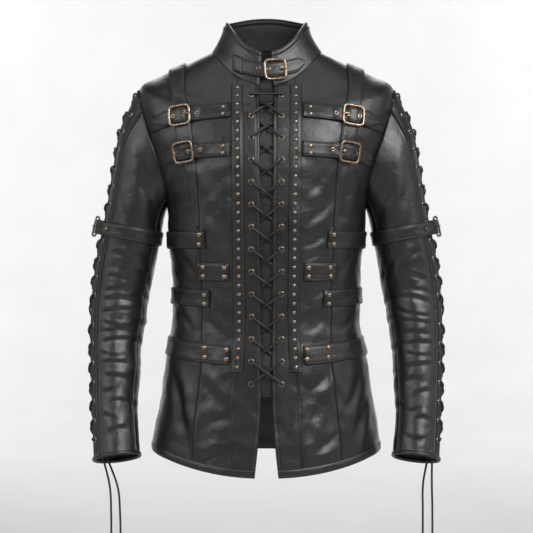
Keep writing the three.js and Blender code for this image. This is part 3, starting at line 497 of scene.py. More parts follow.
def sleeve_folds(angle, points, side):
    """How far a sleeve's leather stands off its smooth form. The lacing bands stay almost plain."""
    z = points[..., 2]
    turned = np.mod(angle, 360)
    hand = fold_lines(turned * ROUND_SLEEVE, z, SLEEVE_LINES[side])
    from_band = np.minimum(turned - BAND_EDGE, 360 - BAND_EDGE - turned)
    laced = smooth(0, 26, np.maximum(from_band, 0))
    elbow = bell(z, -480, 120)
    broad = waves(points, (60, 120), 0.6, SEED + 2 + side) + waves(points, (18, 36), 0.2, SEED + 5 + side)
    broad = broad + waves(points, (9, 16), 0.06, SEED + 7 + side)
    return (1.2 * hand + broad * (0.6 + 0.7 * elbow)) * (0.06 + 0.94 * laced)


# Meshes

SHARP_ANGLE = 48
# The groove depth at which the painted shade in it is full
GROOVE_DEPTH = 1.1
PLAIN = ("",) * 4

# Distances from a border at which a mesh has a line, so that the border can be shaped
MARGINS = (0.7, 1.5, 2.4, 3.4, 4.4, 5.4, 6.6, 8.4)
STRAP_MARGINS = (0.5, 1.2, 2.0, 2.8, 3.6, 4.6)

STITCH_PITCH = 3.7
STITCH_LONG = 2.7
STITCH_THICK = 0.55
STITCHES = {}


def run_length(points, axis):
    """Distance along a grid from its first row or column."""
    step = np.linalg.norm(np.diff(points, axis=axis), axis=-1)
    start = np.zeros_like(np.take(step, [0], axis=axis))
    return np.concatenate([start, np.cumsum(step, axis=axis)], axis=axis)


def shell_faces(keep):
    """Quads of a shell: outer face, inner face and the rims, with the outer points first."""
    rows, cols = keep.shape[0] + 1, keep.shape[1] + 1
    count = rows * cols
    ids = np.arange(count).reshape(rows, cols)
    a, b, c, d = ids[:-1, :-1], ids[:-1, 1:], ids[1:, 1:], ids[1:, :-1]
    outer = np.stack([a, b, c, d], -1)[keep]
    padded = np.pad(keep, 1)
    above, below = padded[:-2, 1:-1], padded[2:, 1:-1]
    before, after = padded[1:-1, :-2], padded[1:-1, 2:]
    rims = []
    for neighbour, start, end in ((above, a, b), (after, b, c), (below, c, d), (before, d, a)):
        bare = keep & ~neighbour
        rims.append(np.stack([end, start, start + count, end + count], -1)[bare])
    return outer, outer[:, ::-1] + count, np.concatenate(rims)


def placed(name, data):
    """A new object in the scene."""
    thing = bpy.data.objects.new(name, data)
    bpy.context.scene.collection.objects.link(thing)
    return thing


def new_object(name, points, faces, materials, which=None, groove=None):
    """A mesh object in metres from points in millimetres.

    Which gives each face's material, and groove says how deep in a groove each point lies; the leather
    reflects less there, as painted shade.
    """
    mesh = bpy.data.meshes.new(name)
    mesh.from_pydata((np.asarray(points) * MM).tolist(), [], [list(map(int, f)) for f in faces])
    for material in materials:
        mesh.materials.append(material)
    if which is not None:
        mesh.polygons.foreach_set("material_index", which)
    mesh.polygons.foreach_set("use_smooth", [True] * len(mesh.polygons))
    mesh.set_sharp_from_angle(angle=math.radians(SHARP_ANGLE))
    if groove is not None:
        mesh.attributes.new("groove", "FLOAT", "POINT").data.foreach_set("value", groove)
    mesh.update()
    return placed(name, mesh)


def dress(thing, nodes):
    """The piece rides on the jacket and stands for its CAD nodes."""
    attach(thing, "root")
    if nodes:
        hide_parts(*nodes)
    return thing


def spread(length, step, margins=MARGINS):
    """Shares of a length from 0 to 1, close together near both ends."""
    low = [0, *[m for m in margins if m < length * 0.4]]
    inner = np.linspace(low[-1], length - low[-1], max(2, round((length - 2 * low[-1]) / step) + 1))
    high = [length - m for m in reversed(low[:-1])]
    return np.array([*low[:-1], *inner, *high]) / length


def seam_shape(distance, kind):
    """How the leather turns down at a border: a seam, a sewn join, a welt, a turned edge, or nothing."""
    if kind == "seam":
        return 0.55 * bell(distance, 2.8, 1.6) - 1.5 * bell(distance, 0, 1.5) - 0.3 * bell(distance, 5, 0.8)
    if kind == "join":
        return 0.6 * bell(distance, 3, 1.8) - 0.6 * bell(distance, 0, 1.0)
    if kind == "welt":
        band = 0.75 * smooth(8.3, 7.3, distance) + 0.35 * bell(distance, 4.6, 1.5)
        return band - 1.5 * bell(distance, 0, 1.2)
    if kind == "edge":
        return bell(distance, 2.8, 2.0) - 1.1 * bell(distance, 0, 1.3) - 0.6 * bell(distance, 5.9, 0.8)
    return np.zeros_like(distance)


def sew(group, path, normals):
    """Stitches along a path: short spindles that are sunk a little into the leather."""
    run = run_length(path, 0)
    if run[-1] < 3 * STITCH_PITCH:
        return
    starts = np.arange(STITCH_PITCH / 2, run[-1] - STITCH_PITCH / 2, STITCH_PITCH)

    def along_path(values, at):
        return np.stack([np.interp(at, run, values[:, k]) for k in range(3)], -1)

    middle = along_path(path, starts)
    along = unit(along_path(path, starts + 0.5) - middle)
    normal = unit(along_path(normals, starts))
    side = np.cross(normal, along)
    middle = middle + normal * 0.12
    half, sunk = along * STITCH_LONG / 2, normal * STITCH_THICK * 0.5
    wide, high = side * STITCH_THICK, normal * STITCH_THICK
    belt = [middle + wide, middle + high, middle - wide, middle - high]
    points = np.stack([middle - half - sunk, middle + half - sunk, *belt], 1)
    tris = [[0, 2 + (k + 1) % 4, 2 + k] for k in range(4)]
    tris += [[1, 2 + k, 2 + (k + 1) % 4] for k in range(4)]
    base = len(points[0]) * np.arange(len(points))[:, None, None]
    STITCHES.setdefault(group, []).append((points.reshape(-1, 3), (base + np.array(tris)).reshape(-1, 3)))


def inside_line(points, border, distance):
    """The line in a grid that runs a distance in from one of its four borders."""
    grid = points if border < 2 else points.transpose(1, 0, 2)
    grid = grid[:, ::-1] if border in (1, 3) else grid
    return np.array([[np.interp(distance, run, line[:, k]) for k in range(3)]
                     for run, line in zip(run_length(grid, 1), grid)])


def joined(parts):
    """Several point and face lists as one."""
    points, faces, start = [], [], 0
    for p, f in parts:
        points.append(p)
        faces.extend([[int(k) + start for k in face] for face in f])
        start += len(p)
    return np.concatenate(points), faces


def panel(node, grid, *, thick=WALL, folds=0.0, borders=PLAIN, stitches=(), side=1, keep=None,
          slot="black_leather", group="body", material="leather", painted_shade_dip=0.0, extra=False):
    """A leather shell on a grid of surface points and normals. It stands for a node.

    The borders are first column, last column, first row, last row. Each stitch line is a border's number
    and its distance from it. A side of -1 mirrors the piece to the wearer's right. An extra piece stands for
    no node.
    """
    points, normals = grid
    across, down = run_length(points, 1), run_length(points, 0)
    from_borders = (across, across[:, -1:] - across, down, down[-1:] - down)
    shape = sum(seam_shape(distance, kind) for distance, kind in zip(from_borders, borders))
    outer = points + normals * (shape + folds)[..., None]
    inner = outer - normals * thick
    outer, inner, normals = [mirrored(each, side) for each in (outer, inner, normals)]
    keep = np.ones((len(outer) - 1, len(outer[0]) - 1), bool) if keep is None else keep
    outer_faces, inner_faces, rims = shell_faces(keep)
    faces = np.concatenate([outer_faces, inner_faces, rims])
    turn = np.cross(outer[0, 1] - outer[0, 0], outer[1, 0] - outer[0, 0])
    if turn @ normals[0, 0] < 0:
        faces = faces[:, ::-1]
    which = np.zeros(len(faces), int)
    which[len(outer_faces):len(outer_faces) + len(inner_faces)] = 1
    every = np.concatenate([outer.reshape(-1, 3), inner.reshape(-1, 3)])
    # Painted shade: the deeper a point lies in a seam, channel or rolled edge, the less the leather reflects
    # there. The dip only adds to this shade and shapes nothing
    deep = np.clip(-(shape + painted_shade_dip) / GROOVE_DEPTH, 0, 1).ravel()
    groove = np.concatenate([deep, np.zeros_like(deep)])
    looks = [MATERIALS[material], MATERIALS["lining"]]
    thing = new_object(f"{node}_leather", every, faces, looks, which, groove)
    dress(thing, [] if extra else [node])
    for border, distance in stitches:
        sew(group, inside_line(outer, border, distance), inside_line(normals, border, 0))


def tube_faces(rings, sides, closed=False):
    """Quads between rings of points."""
    faces = []
    for i in range(rings if closed else rings - 1):
        j = (i + 1) % rings
        for k in range(sides):
            m = (k + 1) % sides
            faces.append([i * sides + k, i * sides + m, j * sides + m, j * sides + k])
    return faces


def sweep(path, radius, sides, closed=False, flat=1.0, up=None):
    """A round or flattened bar along a path."""
    path = np.asarray(path, float)
    if closed:
        turn = unit(np.roll(path, -1, 0) - np.roll(path, 1, 0))
    else:
        turn = unit(np.gradient(path, axis=0))
    side = np.cross([0, 0, 1.0] if up is None else up, turn[0])
    side = unit(side) if np.linalg.norm(side) > 0.1 else np.array([1.0, 0, 0])
    ring = 2 * np.pi * np.arange(sides) / sides
    points = []
    for p, t in zip(path, turn):
        side = unit(side - t * (side @ t))
        other = np.cross(t, side)
        points.append(p + radius * (np.outer(np.cos(ring), side) + flat * np.outer(np.sin(ring), other)))
    faces = tube_faces(len(path), sides, closed)
    if not closed:
        faces.append(list(range(sides))[::-1])
        faces.append([(len(path) - 1) * sides + k for k in range(sides)])
    return np.concatenate(points), faces


def curve_through(points, step):
    """Even points on a smooth curve through a route."""
    rows = np.asarray(points, float)
    fine = np.linspace(0, len(rows) - 1, 40 * len(rows))
    line = np.stack([column(rows, k, fine) for k in range(3)], -1)
    run = run_length(line, 0)
    at = np.linspace(0, run[-1], max(3, round(run[-1] / step) + 1))
    return np.stack([np.interp(at, run, line[:, k]) for k in range(3)], -1)


def lathe(profile, sides):
    """A turned solid from radius and height pairs. It is open where its profile ends off the axis."""
    ring = 2 * np.pi * np.arange(sides) / sides
    points = [np.stack([r * np.cos(ring), r * np.sin(ring), np.full(sides, h)], -1) for r, h in profile]
    return np.concatenate(points), tube_faces(len(profile), sides)


def set_at(part, centres, normals):
    """Copies of a turned solid, each standing on a point along its normal."""
    points, faces = part
    out = []
    for centre, normal in zip(centres, normals):
        u = unit(np.cross([0.0, 0.0, 1.0], normal) if abs(normal[2]) < 0.9 else np.cross([1.0, 0, 0], normal))
        v = np.cross(normal, u)
        out.append((centre + points @ np.stack([u, v, normal]), faces))
    return joined(out)


# Materials

def node_material(name, build):
    """A new material whose nodes are laid by a function."""
    material = bpy.data.materials.new(name)
    material.use_nodes = True
    build(material.node_tree, material.node_tree.nodes["Principled BSDF"])
    return material


def noise(tree, scale, detail=3.0, rough=0.55):
    """A noise texture in the jacket's own space."""
    place = tree.nodes.new("ShaderNodeTexCoord")
    texture = tree.nodes.new("ShaderNodeTexNoise")
    texture.inputs["Scale"].default_value = scale
    texture.inputs["Detail"].default_value = detail
    texture.inputs["Roughness"].default_value = rough
    tree.links.new(place.outputs["Object"], texture.inputs["Vector"])
    return texture.outputs["Fac"]


def span(tree, value, low, high, from_low=0.3, from_high=0.7):
    """A value carried from one span to another."""
    node = tree.nodes.new("ShaderNodeMapRange")
    node.inputs["From Min"].default_value = from_low
    node.inputs["From Max"].default_value = from_high
    node.inputs["To Min"].default_value = low
    node.inputs["To Max"].default_value = high
    tree.links.new(value, node.inputs["Value"])
    return node.outputs["Result"]


def two_colours(tree, value, dark, light):
    """A colour between two, by a value."""
    ramp = tree.nodes.new("ShaderNodeValToRGB")
    ramp.color_ramp.elements[0].position = 0.3
    ramp.color_ramp.elements[0].color = (*dark, 1)
    ramp.color_ramp.elements[1].position = 0.72
    ramp.color_ramp.elements[1].color = (*light, 1)
    tree.links.new(value, ramp.inputs["Fac"])
    return ramp.outputs["Color"]


def bump(tree, height, strength, distance, under=None):
    """A bump node over another normal."""
    node = tree.nodes.new("ShaderNodeBump")
    node.inputs["Strength"].default_value = strength
    node.inputs["Distance"].default_value = distance
    tree.links.new(height, node.inputs["Height"])
    if under is not None:
        tree.links.new(under, node.inputs["Normal"])
    return node.outputs["Normal"]


def leather_nodes(dark, light, rough_low, rough_high, coat):
    """Grained leather: pebbled cells, fine creases, uneven gloss, a little wear in the colour and painted
    shade in the grooves.
    """
    def build(tree, shader):
        place = tree.nodes.new("ShaderNodeTexCoord")
        cells = tree.nodes.new("ShaderNodeTexVoronoi")
        cells.feature = "DISTANCE_TO_EDGE"
        cells.inputs["Scale"].default_value = 820
        warp = tree.nodes.new("ShaderNodeTexNoise")
        warp.inputs["Scale"].default_value = 240
        tree.links.new(place.outputs["Object"], warp.inputs["Vector"])
        add = tree.nodes.new("ShaderNodeVectorMath")
        add.operation = "MULTIPLY_ADD"
        add.inputs[1].default_value = (0.0016, 0.0016, 0.0016)
        tree.links.new(warp.outputs["Color"], add.inputs[0])
        tree.links.new(place.outputs["Object"], add.inputs[2])
        tree.links.new(add.outputs["Vector"], cells.inputs["Vector"])
        grain = bump(tree, cells.outputs["Distance"], 0.22, 0.0006)
        fine = bump(tree, noise(tree, 150, 6.0, 0.62), 0.3, 0.0016, grain)
        uneven = bump(tree, noise(tree, 55, 5.0, 0.6), 0.24, 0.004, fine)
        soft = bump(tree, noise(tree, 16, 3.0), 0.10, 0.010, uneven)
        tree.links.new(soft, shader.inputs["Normal"])
        colour = two_colours(tree, noise(tree, 22, 6.0, 0.65), dark, light)
        tree.links.new(colour, shader.inputs["Base Color"])
        rough = span(tree, noise(tree, 38, 5.0, 0.6), rough_low, rough_high)
        tree.links.new(rough, shader.inputs["Roughness"])
        # Painted shade: the groove attribute lowers the reflection from 0.5 to 0.08 in seams, stitch channels
        # and rolled edges
        groove = tree.nodes.new("ShaderNodeAttribute")
        groove.attribute_name = "groove"
        painted_groove_shade = span(tree, groove.outputs["Fac"], 0.5, 0.08, 0.0, 0.8)
        tree.links.new(painted_groove_shade, shader.inputs["Specular IOR Level"])
        shader.inputs["Coat Weight"].default_value = coat
        shader.inputs["Coat Roughness"].default_value = 0.3
    return build


def brass_nodes(tree, shader):
    """Darkened brass, rubbed brighter in patches."""
    colour = two_colours(tree, noise(tree, 420, 4.0, 0.6), (0.09, 0.062, 0.045), (0.46, 0.355, 0.27))
    tree.links.new(colour, shader.inputs["Base Color"])
    tree.links.new(span(tree, noise(tree, 700), 0.2, 0.4), shader.inputs["Roughness"])
    shader.inputs["Metallic"].default_value = 1.0
    tree.links.new(bump(tree, noise(tree, 900), 0.12, 0.0004), shader.inputs["Normal"])


def lining_nodes(tree, shader):
    """The inner side: a plain dark woven lining."""
    place = tree.nodes.new("ShaderNodeTexCoord")
    weave = tree.nodes.new("ShaderNodeTexWave")
    weave.inputs["Scale"].default_value = 320
    weave.inputs["Distortion"].default_value = 1.4
    tree.links.new(place.outputs["Object"], weave.inputs["Vector"])
    tree.links.new(bump(tree, weave.outputs["Fac"], 0.2, 0.0004), shader.inputs["Normal"])
    colour = two_colours(tree, noise(tree, 60), (0.008, 0.008, 0.009), (0.018, 0.018, 0.02))
    tree.links.new(colour, shader.inputs["Base Color"])
    shader.inputs["Roughness"].default_value = 0.62


def thread_nodes(tree, shader):
    """Waxed black thread."""
    colour = two_colours(tree, noise(tree, 900), (0.04, 0.04, 0.04), (0.11, 0.107, 0.102))
    tree.links.new(colour, shader.inputs["Base Color"])
    shader.inputs["Roughness"].default_value = 0.45


def paper_nodes(tree, shader):
    """Pale studio paper."""
    colour = two_colours(tree, noise(tree, 3), (0.6, 0.6, 0.6), (0.63, 0.63, 0.63))
    tree.links.new(colour, shader.inputs["Base Color"])
    shader.inputs["Roughness"].default_value = 0.9


# Each leather: its name, darkest and lightest colour, least and most roughness, and coat
LEATHERS = {
    "leather": ("black_leather", (0.005, 0.005, 0.005), (0.013, 0.0127, 0.0123), 0.27, 0.43, 0.12),
    "strap": ("strap_leather", (0.006, 0.006, 0.006), (0.016, 0.0157, 0.0153), 0.28, 0.43, 0.08),
    "tongue": ("tongue_leather", (0.007, 0.007, 0.007), (0.014, 0.014, 0.014), 0.34, 0.5, 0.0),
    "lace": ("lace_leather", (0.006, 0.006, 0.006), (0.016, 0.015, 0.015), 0.42, 0.56, 0.0),
}
MATERIALS = {key: node_material(name, leather_nodes(*looks)) for key, (name, *looks) in LEATHERS.items()}
MATERIALS["brass"] = node_material("antique_brass", brass_nodes)
MATERIALS["lining"] = node_material("lining", lining_nodes)
MATERIALS["thread"] = node_material("thread", thread_nodes)


# Camera

camera = placed("camera", bpy.data.cameras.new("camera"))
camera.location = (0, CAMERA_Y, CAMERA_Z)
camera.rotation_euler = (math.pi / 2, 0, 0)
camera.data.lens = LENS
camera.data.sensor_width = 36
bpy.context.scene.camera = camera


# Free lace ends

def arm_rows(angle):
    """The rings of a sleeve's eyelets, evenly spaced down the line at an angle, above and below the elbow."""
    s = np.linspace(0, CUFF_ROW, 361)
    track = sleeve_point(np.full_like(s, angle), s)
    run = run_length(track, 0)
    places = []
    for top, bottom, count in (UPPER_ARM_ROWS, LOWER_ARM_ROWS):
        start, end = [run[np.argmax(track[:, 2] <= z)] for z in (top, bottom)]
        places.append(np.linspace(start, end, count))
    return np.interp(np.concatenate(places), run, s)


ARM_ROWS = {angle: arm_rows(angle) for angle in (ARM_EYELET, -ARM_EYELET)}
END_LIFT = -(WALL + GUSSET_DROP + WALL + LACE / 2 + 1.3)
FREE_ENDS = {
    "lace_end_front_left": (1, ARM_EYELET, [[282, -70, -720], [283, -70, -776], [283, -70, END_Z]]),
    "lace_end_back_left": (1, -ARM_EYELET, [[271, -35, -728], [270, -36, -780], [270, -36, END_Z]]),
    "lace_end_front_right": (-1, ARM_EYELET, [[-268, -70, -728], [-265, -70, -780], [-265, -70, END_Z]]),
    "lace_end_back_right": (-1, -ARM_EYELET, [[-258, -36, -734], [-253, -36, -784], [-252, -36, END_Z]]),
}


def free_end(name, side, angle, hang):
    """A lace's free end: it hangs inside the sleeve and out of the cuff, cut off plainly."""
    lying = []
    for further in (0, 0.25):
        point, normal = on_sleeve(angle, ARM_ROWS[angle][-1] + further)
        lying.append(mirrored(point + normal * (END_LIFT - 5 * further), side))
    route = curve_through([*lying, *hang], 8)
    curve = bpy.data.curves.new(name, "CURVE")
    curve.dimensions = "3D"
    curve.bevel_depth = LACE / 2 * MM
    curve.bevel_resolution = 4
    curve.use_fill_caps = True
    spline = curve.splines.new("POLY")
    spline.points.add(len(route) - 1)
    for point, place in zip(spline.points, route):
        point.co = (*(place * MM), 1)
    curve.materials.append(MATERIALS["lace"])
    thing = dress(placed(name + "_cord", curve), [name])


for end_name, (end_side, end_angle, end_hang) in FREE_ENDS.items():
    free_end(end_name, end_side, end_angle, end_hang)


# Body panels

def shoulder_ring(x):
    """The ring at which the shoulder line is x from the middle."""
    return solve(TIP_ROW, NECK_ROW, -x, lambda t: -column(BODY, HALF, t))


PRINCESS_TOP = float(shoulder_ring(np.array(158.0)))
ARMHOLE_SHARES = np.linspace(0.125, 1, 8)
ARMHOLE_ANGLES = np.array([180, 148, 119, 90, 70, 50, 20, 0])
CHEST_RING = 6
CHEST_SHARE = 0.55

# How sharply a panel's last rings bend onto the neck seam
LEVEL_POWER = 40

PLACKET_SHARES = np.array([0, 0.02, 0.045, 0.075, 0.11, 0.14, 0.165, 0.19, 0.22, *np.linspace(0.27, 0.94, 14),
                           0.975, 1])
SEAM_OVERLAP = 3
PLACKET_HOLE = 2.9


def princess_angle(t):
    """The princess seam's angle at a ring."""
    angle = angle_at(BODY, column(BODY, PRINCESS, t), t)
    return np.where(t >= PRINCESS_TOP - 1e-3, 90.0, angle)


def rise(u, top):
    """Rings up a seam: the first share of u climbs to the chest, the rest to the top."""
    upper = np.clip((u - CHEST_SHARE) / (1 - CHEST_SHARE), 0, 1)
    return np.where(u < CHEST_SHARE, CHEST_RING * u / CHEST_SHARE, mix(CHEST_RING, top, upper ** 0.92)), upper


def up_to_neck(u, share, power=1.0):
    """Rings and the reach across of a panel between the middle, at share 0, and the princess seam, at 1.

    The last rings bend onto the neck seam and the shoulder line.
    """
    inner_t, _ = rise(u, NECK_ROW)
    outer_t, _ = rise(u, PRINCESS_TOP)
    bow = u ** LEVEL_POWER
    level = np.where(share < 0.75, NECK_ROW, mix(NECK_ROW, PRINCESS_TOP, (share - 0.75) * 4))
    t = mix(mix(inner_t, outer_t, share ** power), level, bow)
    return inner_t, outer_t, t, np.minimum(1, share * (1 + bow / 3))


def front_grid():
    """From the placket to the princess seam, up to the neck and the shoulder."""
    u, share = spread(700, 4.2)[:, None], spread(64, 3.6)[None, :]
    inner_t, outer_t, t, reach = up_to_neck(u, share)
    inner = angle_at(BODY, column(BODY, SEAM, inner_t), inner_t)
    return mix(inner, princess_angle(outer_t), reach), t


def back_grid():
    """The back between the princess seams."""
    half = spread(118, 4.2)
    one_side = half[half >= 0.5] * 2 - 1
    v = np.concatenate([-one_side[::-1], one_side[one_side > 1e-6]])[None, :]
    _, outer_t, t, reach = up_to_neck(spread(700, 4.4)[:, None], np.abs(v), 1.5)
    return 180 - np.sign(v) * mix(0, princess_angle(outer_t), reach), t


def side_grid():
    """From the princess seam to the side seam and the armhole."""
    u, v = spread(660, 4.2)[:, None], spread(78, 3.8)[None, :]
    inner_t, share = rise(u, PRINCESS_TOP)
    seam_angle, seam_t = armhole(np.interp(share, ARMHOLE_SHARES, ARMHOLE_ANGLES))
    first = ARMHOLE_SHARES[0]
    below = share < first
    low_t = np.where(share > 0, mix(CHEST_RING, ARMPIT_ROW, np.clip(share / first, 0, 1)), inner_t)
    seam_angle, seam_t = np.where(below, 90, seam_angle), np.where(below, low_t, seam_t)
    return mix(princess_angle(inner_t), seam_angle, v), mix(inner_t, seam_t, v)


def signed(angle):
    """Angles from -180 to 180."""
    return (angle + 180) % 360 - 180


def body_panel(node, angle, t, side=1, **looks):
    """A panel of the body with its folds, on a grid of angles and rings."""
    points, normals = on_ring(BODY, angle, t)
    folds = body_folds(side * signed(angle), mirrored(points, side))
    panel(node, (points, normals), folds=folds, side=side, **looks)


def holes(middles, centres, reach):
    """Which cells of a grid stay, where holes of one reach are cut round the centres."""
    keep = np.ones(middles.shape[:2], bool)
    for centre in centres:
        keep &= np.linalg.norm(middles - centre, axis=-1) > reach
    return keep


def placket(word, side):
    """The eyelet band along the opening."""
    t = np.linspace(0, NECK_ROW, 280)[:, None]
    x = mix(column(BODY, EDGE, t), column(BODY, SEAM, t) + SEAM_OVERLAP, PLACKET_SHARES[None, :])
    angle = angle_at(BODY, x, t)
    points = ring_point(BODY, angle, t)
    middles = (points[1:, 1:] + points[:-1, :-1])[..., [0, 2]] / 2
    keep = holes(middles, [np.array([FRONT_EYELET_X, z]) for z in FRONT_ROW_Z], PLACKET_HOLE)
    body_panel(f"placket_{word}", angle, t, side, keep=keep, borders=("edge", "seam", "", ""),
               stitches=[(0, 5.0)])


def body_panels():
    """Plackets, front panels, side panels and the back."""
    for side, word in SIDES:
        placket(word, side)
        body_panel(f"front_panel_{word}", *front_grid(), side, borders=("seam", "welt", "", ""),
                   stitches=[(1, 2.0), (1, 7.0)])
        angle, t = side_grid()
        for kind, turned in (("side_front_panel", angle), ("side_back_panel", 180 - angle)):
            body_panel(f"{kind}_{word}", turned, t, side, borders=("seam", "seam", "", "join"),
                       stitches=[(0, 2.4)])
    body_panel("back_panel", *back_grid(), borders=("welt", "welt", "", "seam"),
               stitches=[(0, 2.0), (0, 7.0), (1, 2.0), (1, 7.0), (3, 4.0)])


def tongue():
    """The piece behind the lacing. It narrows at the neck and goes on up behind the collar."""
    z = np.concatenate([np.linspace(-575, -52, 90), np.linspace(-48, -26, 7)])[:, None]
    x, z = both(np.linspace(-56, 47, 34)[None, :], z)
    x = mix(x, x * 0.45, smooth(-50, -36, z))
    body, out = on_front(BODY, x, np.minimum(z, -50))
    neck, neck_out = on_front(COLLAR, x, np.maximum(z, -46.9))
    on_neck = smooth(-52, -44, z)[..., None]
    points = mix(body, neck, np.where(z[..., None] > -50, on_neck, 0))
    sewn = smooth(-47, -56, x) * (z < -60)
    lift = mix(-TONGUE_DROP, -WALL - 1.1, sewn) + waves(points, (30, 70), 0.25, SEED + 9)
    panel("tongue", (points, unit(mix(out, neck_out, on_neck))), folds=lift, borders=("", "", "", "edge"),
          slot="tongue_leather", material="tongue")


body_panels()
tongue()


# Hardware

EYELET = lathe([(2.55, -3.2), (2.5, -0.2), (2.7, 0.7), (3.4, 1.15), (4.3, 1.0), (5.1, 0.35), (5.3, -0.3)], 28)
SMALL_EYELET = lathe([(1.9, -2.6), (1.9, 0.1), (2.1, 0.6), (2.8, 0.85), (3.5, 0.6), (3.8, -0.2)], 20)
STUD = lathe([(3.5, -0.4), (3.45, 0.5), (3.0, 1.5), (2.1, 2.2), (1.0, 2.55), (0.02, 2.6)], 18)
RIVET = lathe([(4.5, -0.5), (4.4, 0.5), (3.8, 1.5), (2.7, 2.2), (1.3, 2.55), (0.02, 2.6)], 20)
SMALL_RIVET = lathe([(3.8, -0.5), (3.7, 0.4), (3.2, 1.3), (2.1, 1.95), (0.9, 2.15), (0.02, 2.18)], 18)
METAL = {}


def fit_metal(group, part, centres, normals, side=1):
    """Adds metal parts to a group, mirrored to the right if side is -1."""
    centres, normals = [mirrored(np.atleast_2d(each), side) for each in (centres, normals)]
    METAL.setdefault(group, []).append(set_at(part, centres, normals))


def front_at(x, z, lift, rows=BODY, side=0):
    """A point of the front, lifted off, and its normal. With a side it also rides on that side's folds."""
    point, normal = on_front(rows, np.array(float(x)), np.array(float(z)))
    if side:
        lift = lift + float(body_lift(mirrored(point, side)))
    return point + normal * lift, normal


eyelet_points, eyelet_normals = on_front(BODY, np.full_like(FRONT_ROW_Z, FRONT_EYELET_X), FRONT_ROW_Z)
for eyelet_side, _ in SIDES:
    fit_metal("front_eyelets", EYELET, eyelet_points + eyelet_normals * 0.05, eyelet_normals, eyelet_side)


# Straps

STRAP_STITCH = 2.8
STRAP_STITCHES = [(0, STRAP_STITCH), (1, STRAP_STITCH)]


def strap_edges(across, width):
    """The strap's turned edges and its stitched channels."""
    distance = (0.5 - np.abs(across)) * width
    roll = -1.2 * bell(distance, 0, 1.1) - 0.55 * bell(distance, STRAP_STITCH, 0.7)
    return (roll + 0.45 * bell(distance, 5.5, 3))[None, :]


def cross_section(width):
    """Shares across a strap, close together near its edges."""
    return spread(width, 2.6, STRAP_MARGINS) - 0.5


def strap(node, centre, width, lift, locate, *, side=1, tip=0.0, group="body", ride=body_lift):
    """A strap along a centre line. Locate gives the surface at the line's point and a height above it.

    Ride gives the folds under it, and tip the length of its pointed end.
    """
    across = cross_section(width)
    run = run_length(centre, 0)
    narrow = np.ones(len(centre))
    if tip:
        narrow = np.clip(0.16 + 0.84 * ((run[-1] - run) / tip) ** 0.8, 0, 1)
    points, normals = locate(centre, across[None, :] * width * narrow[:, None])
    lifts = np.asarray(lift, float).reshape(-1, 1) + waves(points, (40, 90), 0.35, SEED + 11)
    if ride is not None:
        lifts = lifts + ride(mirrored(points, side))
    edges = strap_edges(across, width)
    # The turned edges and stitch channels also get painted shade, through the dip
    panel(node, (points, normals), thick=STRAP, folds=lifts + edges, painted_shade_dip=edges, side=side, group=group,
          borders=("", "", "edge", "" if tip else "edge"), stitches=STRAP_STITCHES, material="strap")


def on_front_strap(centre, offsets, rows=BODY):
    """Locates a strap on the front by its line of x and z."""
    x = np.broadcast_to(centre[:, :1], offsets.shape)
    return on_front(rows, x, centre[:, 2:3] + offsets)


def on_collar_strap(centre, offsets):
    """The same on the collar."""
    return on_front_strap(centre, offsets, COLLAR)


def on_belt_strap(centre, offsets):
    """Locates a strap round the body by its line of angle and z."""
    angle = np.broadcast_to(centre[:, :1] / ROUND_BODY, offsets.shape)
    return on_belt(angle, centre[:, 2:3] + offsets)


def flat_line(points, step):
    """A smooth line of x and z with a spare middle column."""
    return curve_through([[x, 0, z] for x, z in points], step)


def turned_line(angle, round_it, z):
    """A line of angle and z as the same kind of columns."""
    return np.stack([angle * round_it, 0 * angle, z], -1)


CHEST = {
    "upper": {"inner": [61, -93], "buckle": [145, -103], "outer": [197, -116], "tip": [189, -111],
              "eyelet": [117, -100]},
    "lower": {"inner": [60.5, -159], "buckle": [138, -164], "outer": [178, -174], "tip": [174, -171],
              "eyelet": [110, -161]},
}
CHEST_STRAP = 25.5
BUCKLE_LONG = 40
BUCKLE_TALL = 38
BUCKLE_BAR = 4.4
BUCKLE_THICK = 3
BUCKLE_CORNERS = 0.36
PRONG = 1.7


def buckle(node, at, normal, along, base, rise_up, tilt=0.0, side=1):
    """A rounded frame of flattened wire with its prong, which curls round the heel bar."""
    at, normal, along = [mirrored(each, side) for each in (at, normal, along)]
    normal = unit(normal + along * tilt)
    along = unit(along - normal * (along @ normal))
    cross = np.cross(normal, along)
    ring = np.radians(np.arange(0, 360, 6))
    shape = np.stack([np.cos(ring), np.sin(ring)], -1)
    shape = np.sign(shape) * np.abs(shape) ** BUCKLE_CORNERS
    long, tall = (BUCKLE_LONG - BUCKLE_BAR) / 2, (BUCKLE_TALL - BUCKLE_BAR) / 2
    middle = base + BUCKLE_THICK / 2
    bow = (shape[:, :1] ** 2 - 0.4) * 0.5
    path = at + shape[:, :1] * long * along + shape[:, 1:] * tall * cross + (middle + bow) * normal
    frame_bar = sweep(path, BUCKLE_BAR / 2, 12, closed=True, flat=0.72, up=normal)
    prong_line = curve_through([
        at - along * 6.5 + normal * (middle - 1.8 + rise_up),
        at - along * 9.5 + normal * (middle + 0.9 + rise_up * 0.6),
        at - along * (long - 3.0) + normal * (middle + 1.7),
        at - along * (long + 1.9) + normal * (middle + 1.9),
    ], 1.2)
    prong = sweep(prong_line, PRONG, 10, flat=0.85, up=normal)
    points, faces = joined([frame_bar, prong])
    dress(new_object(f"{node}_metal", points, faces, [MATERIALS["brass"]]), [node])


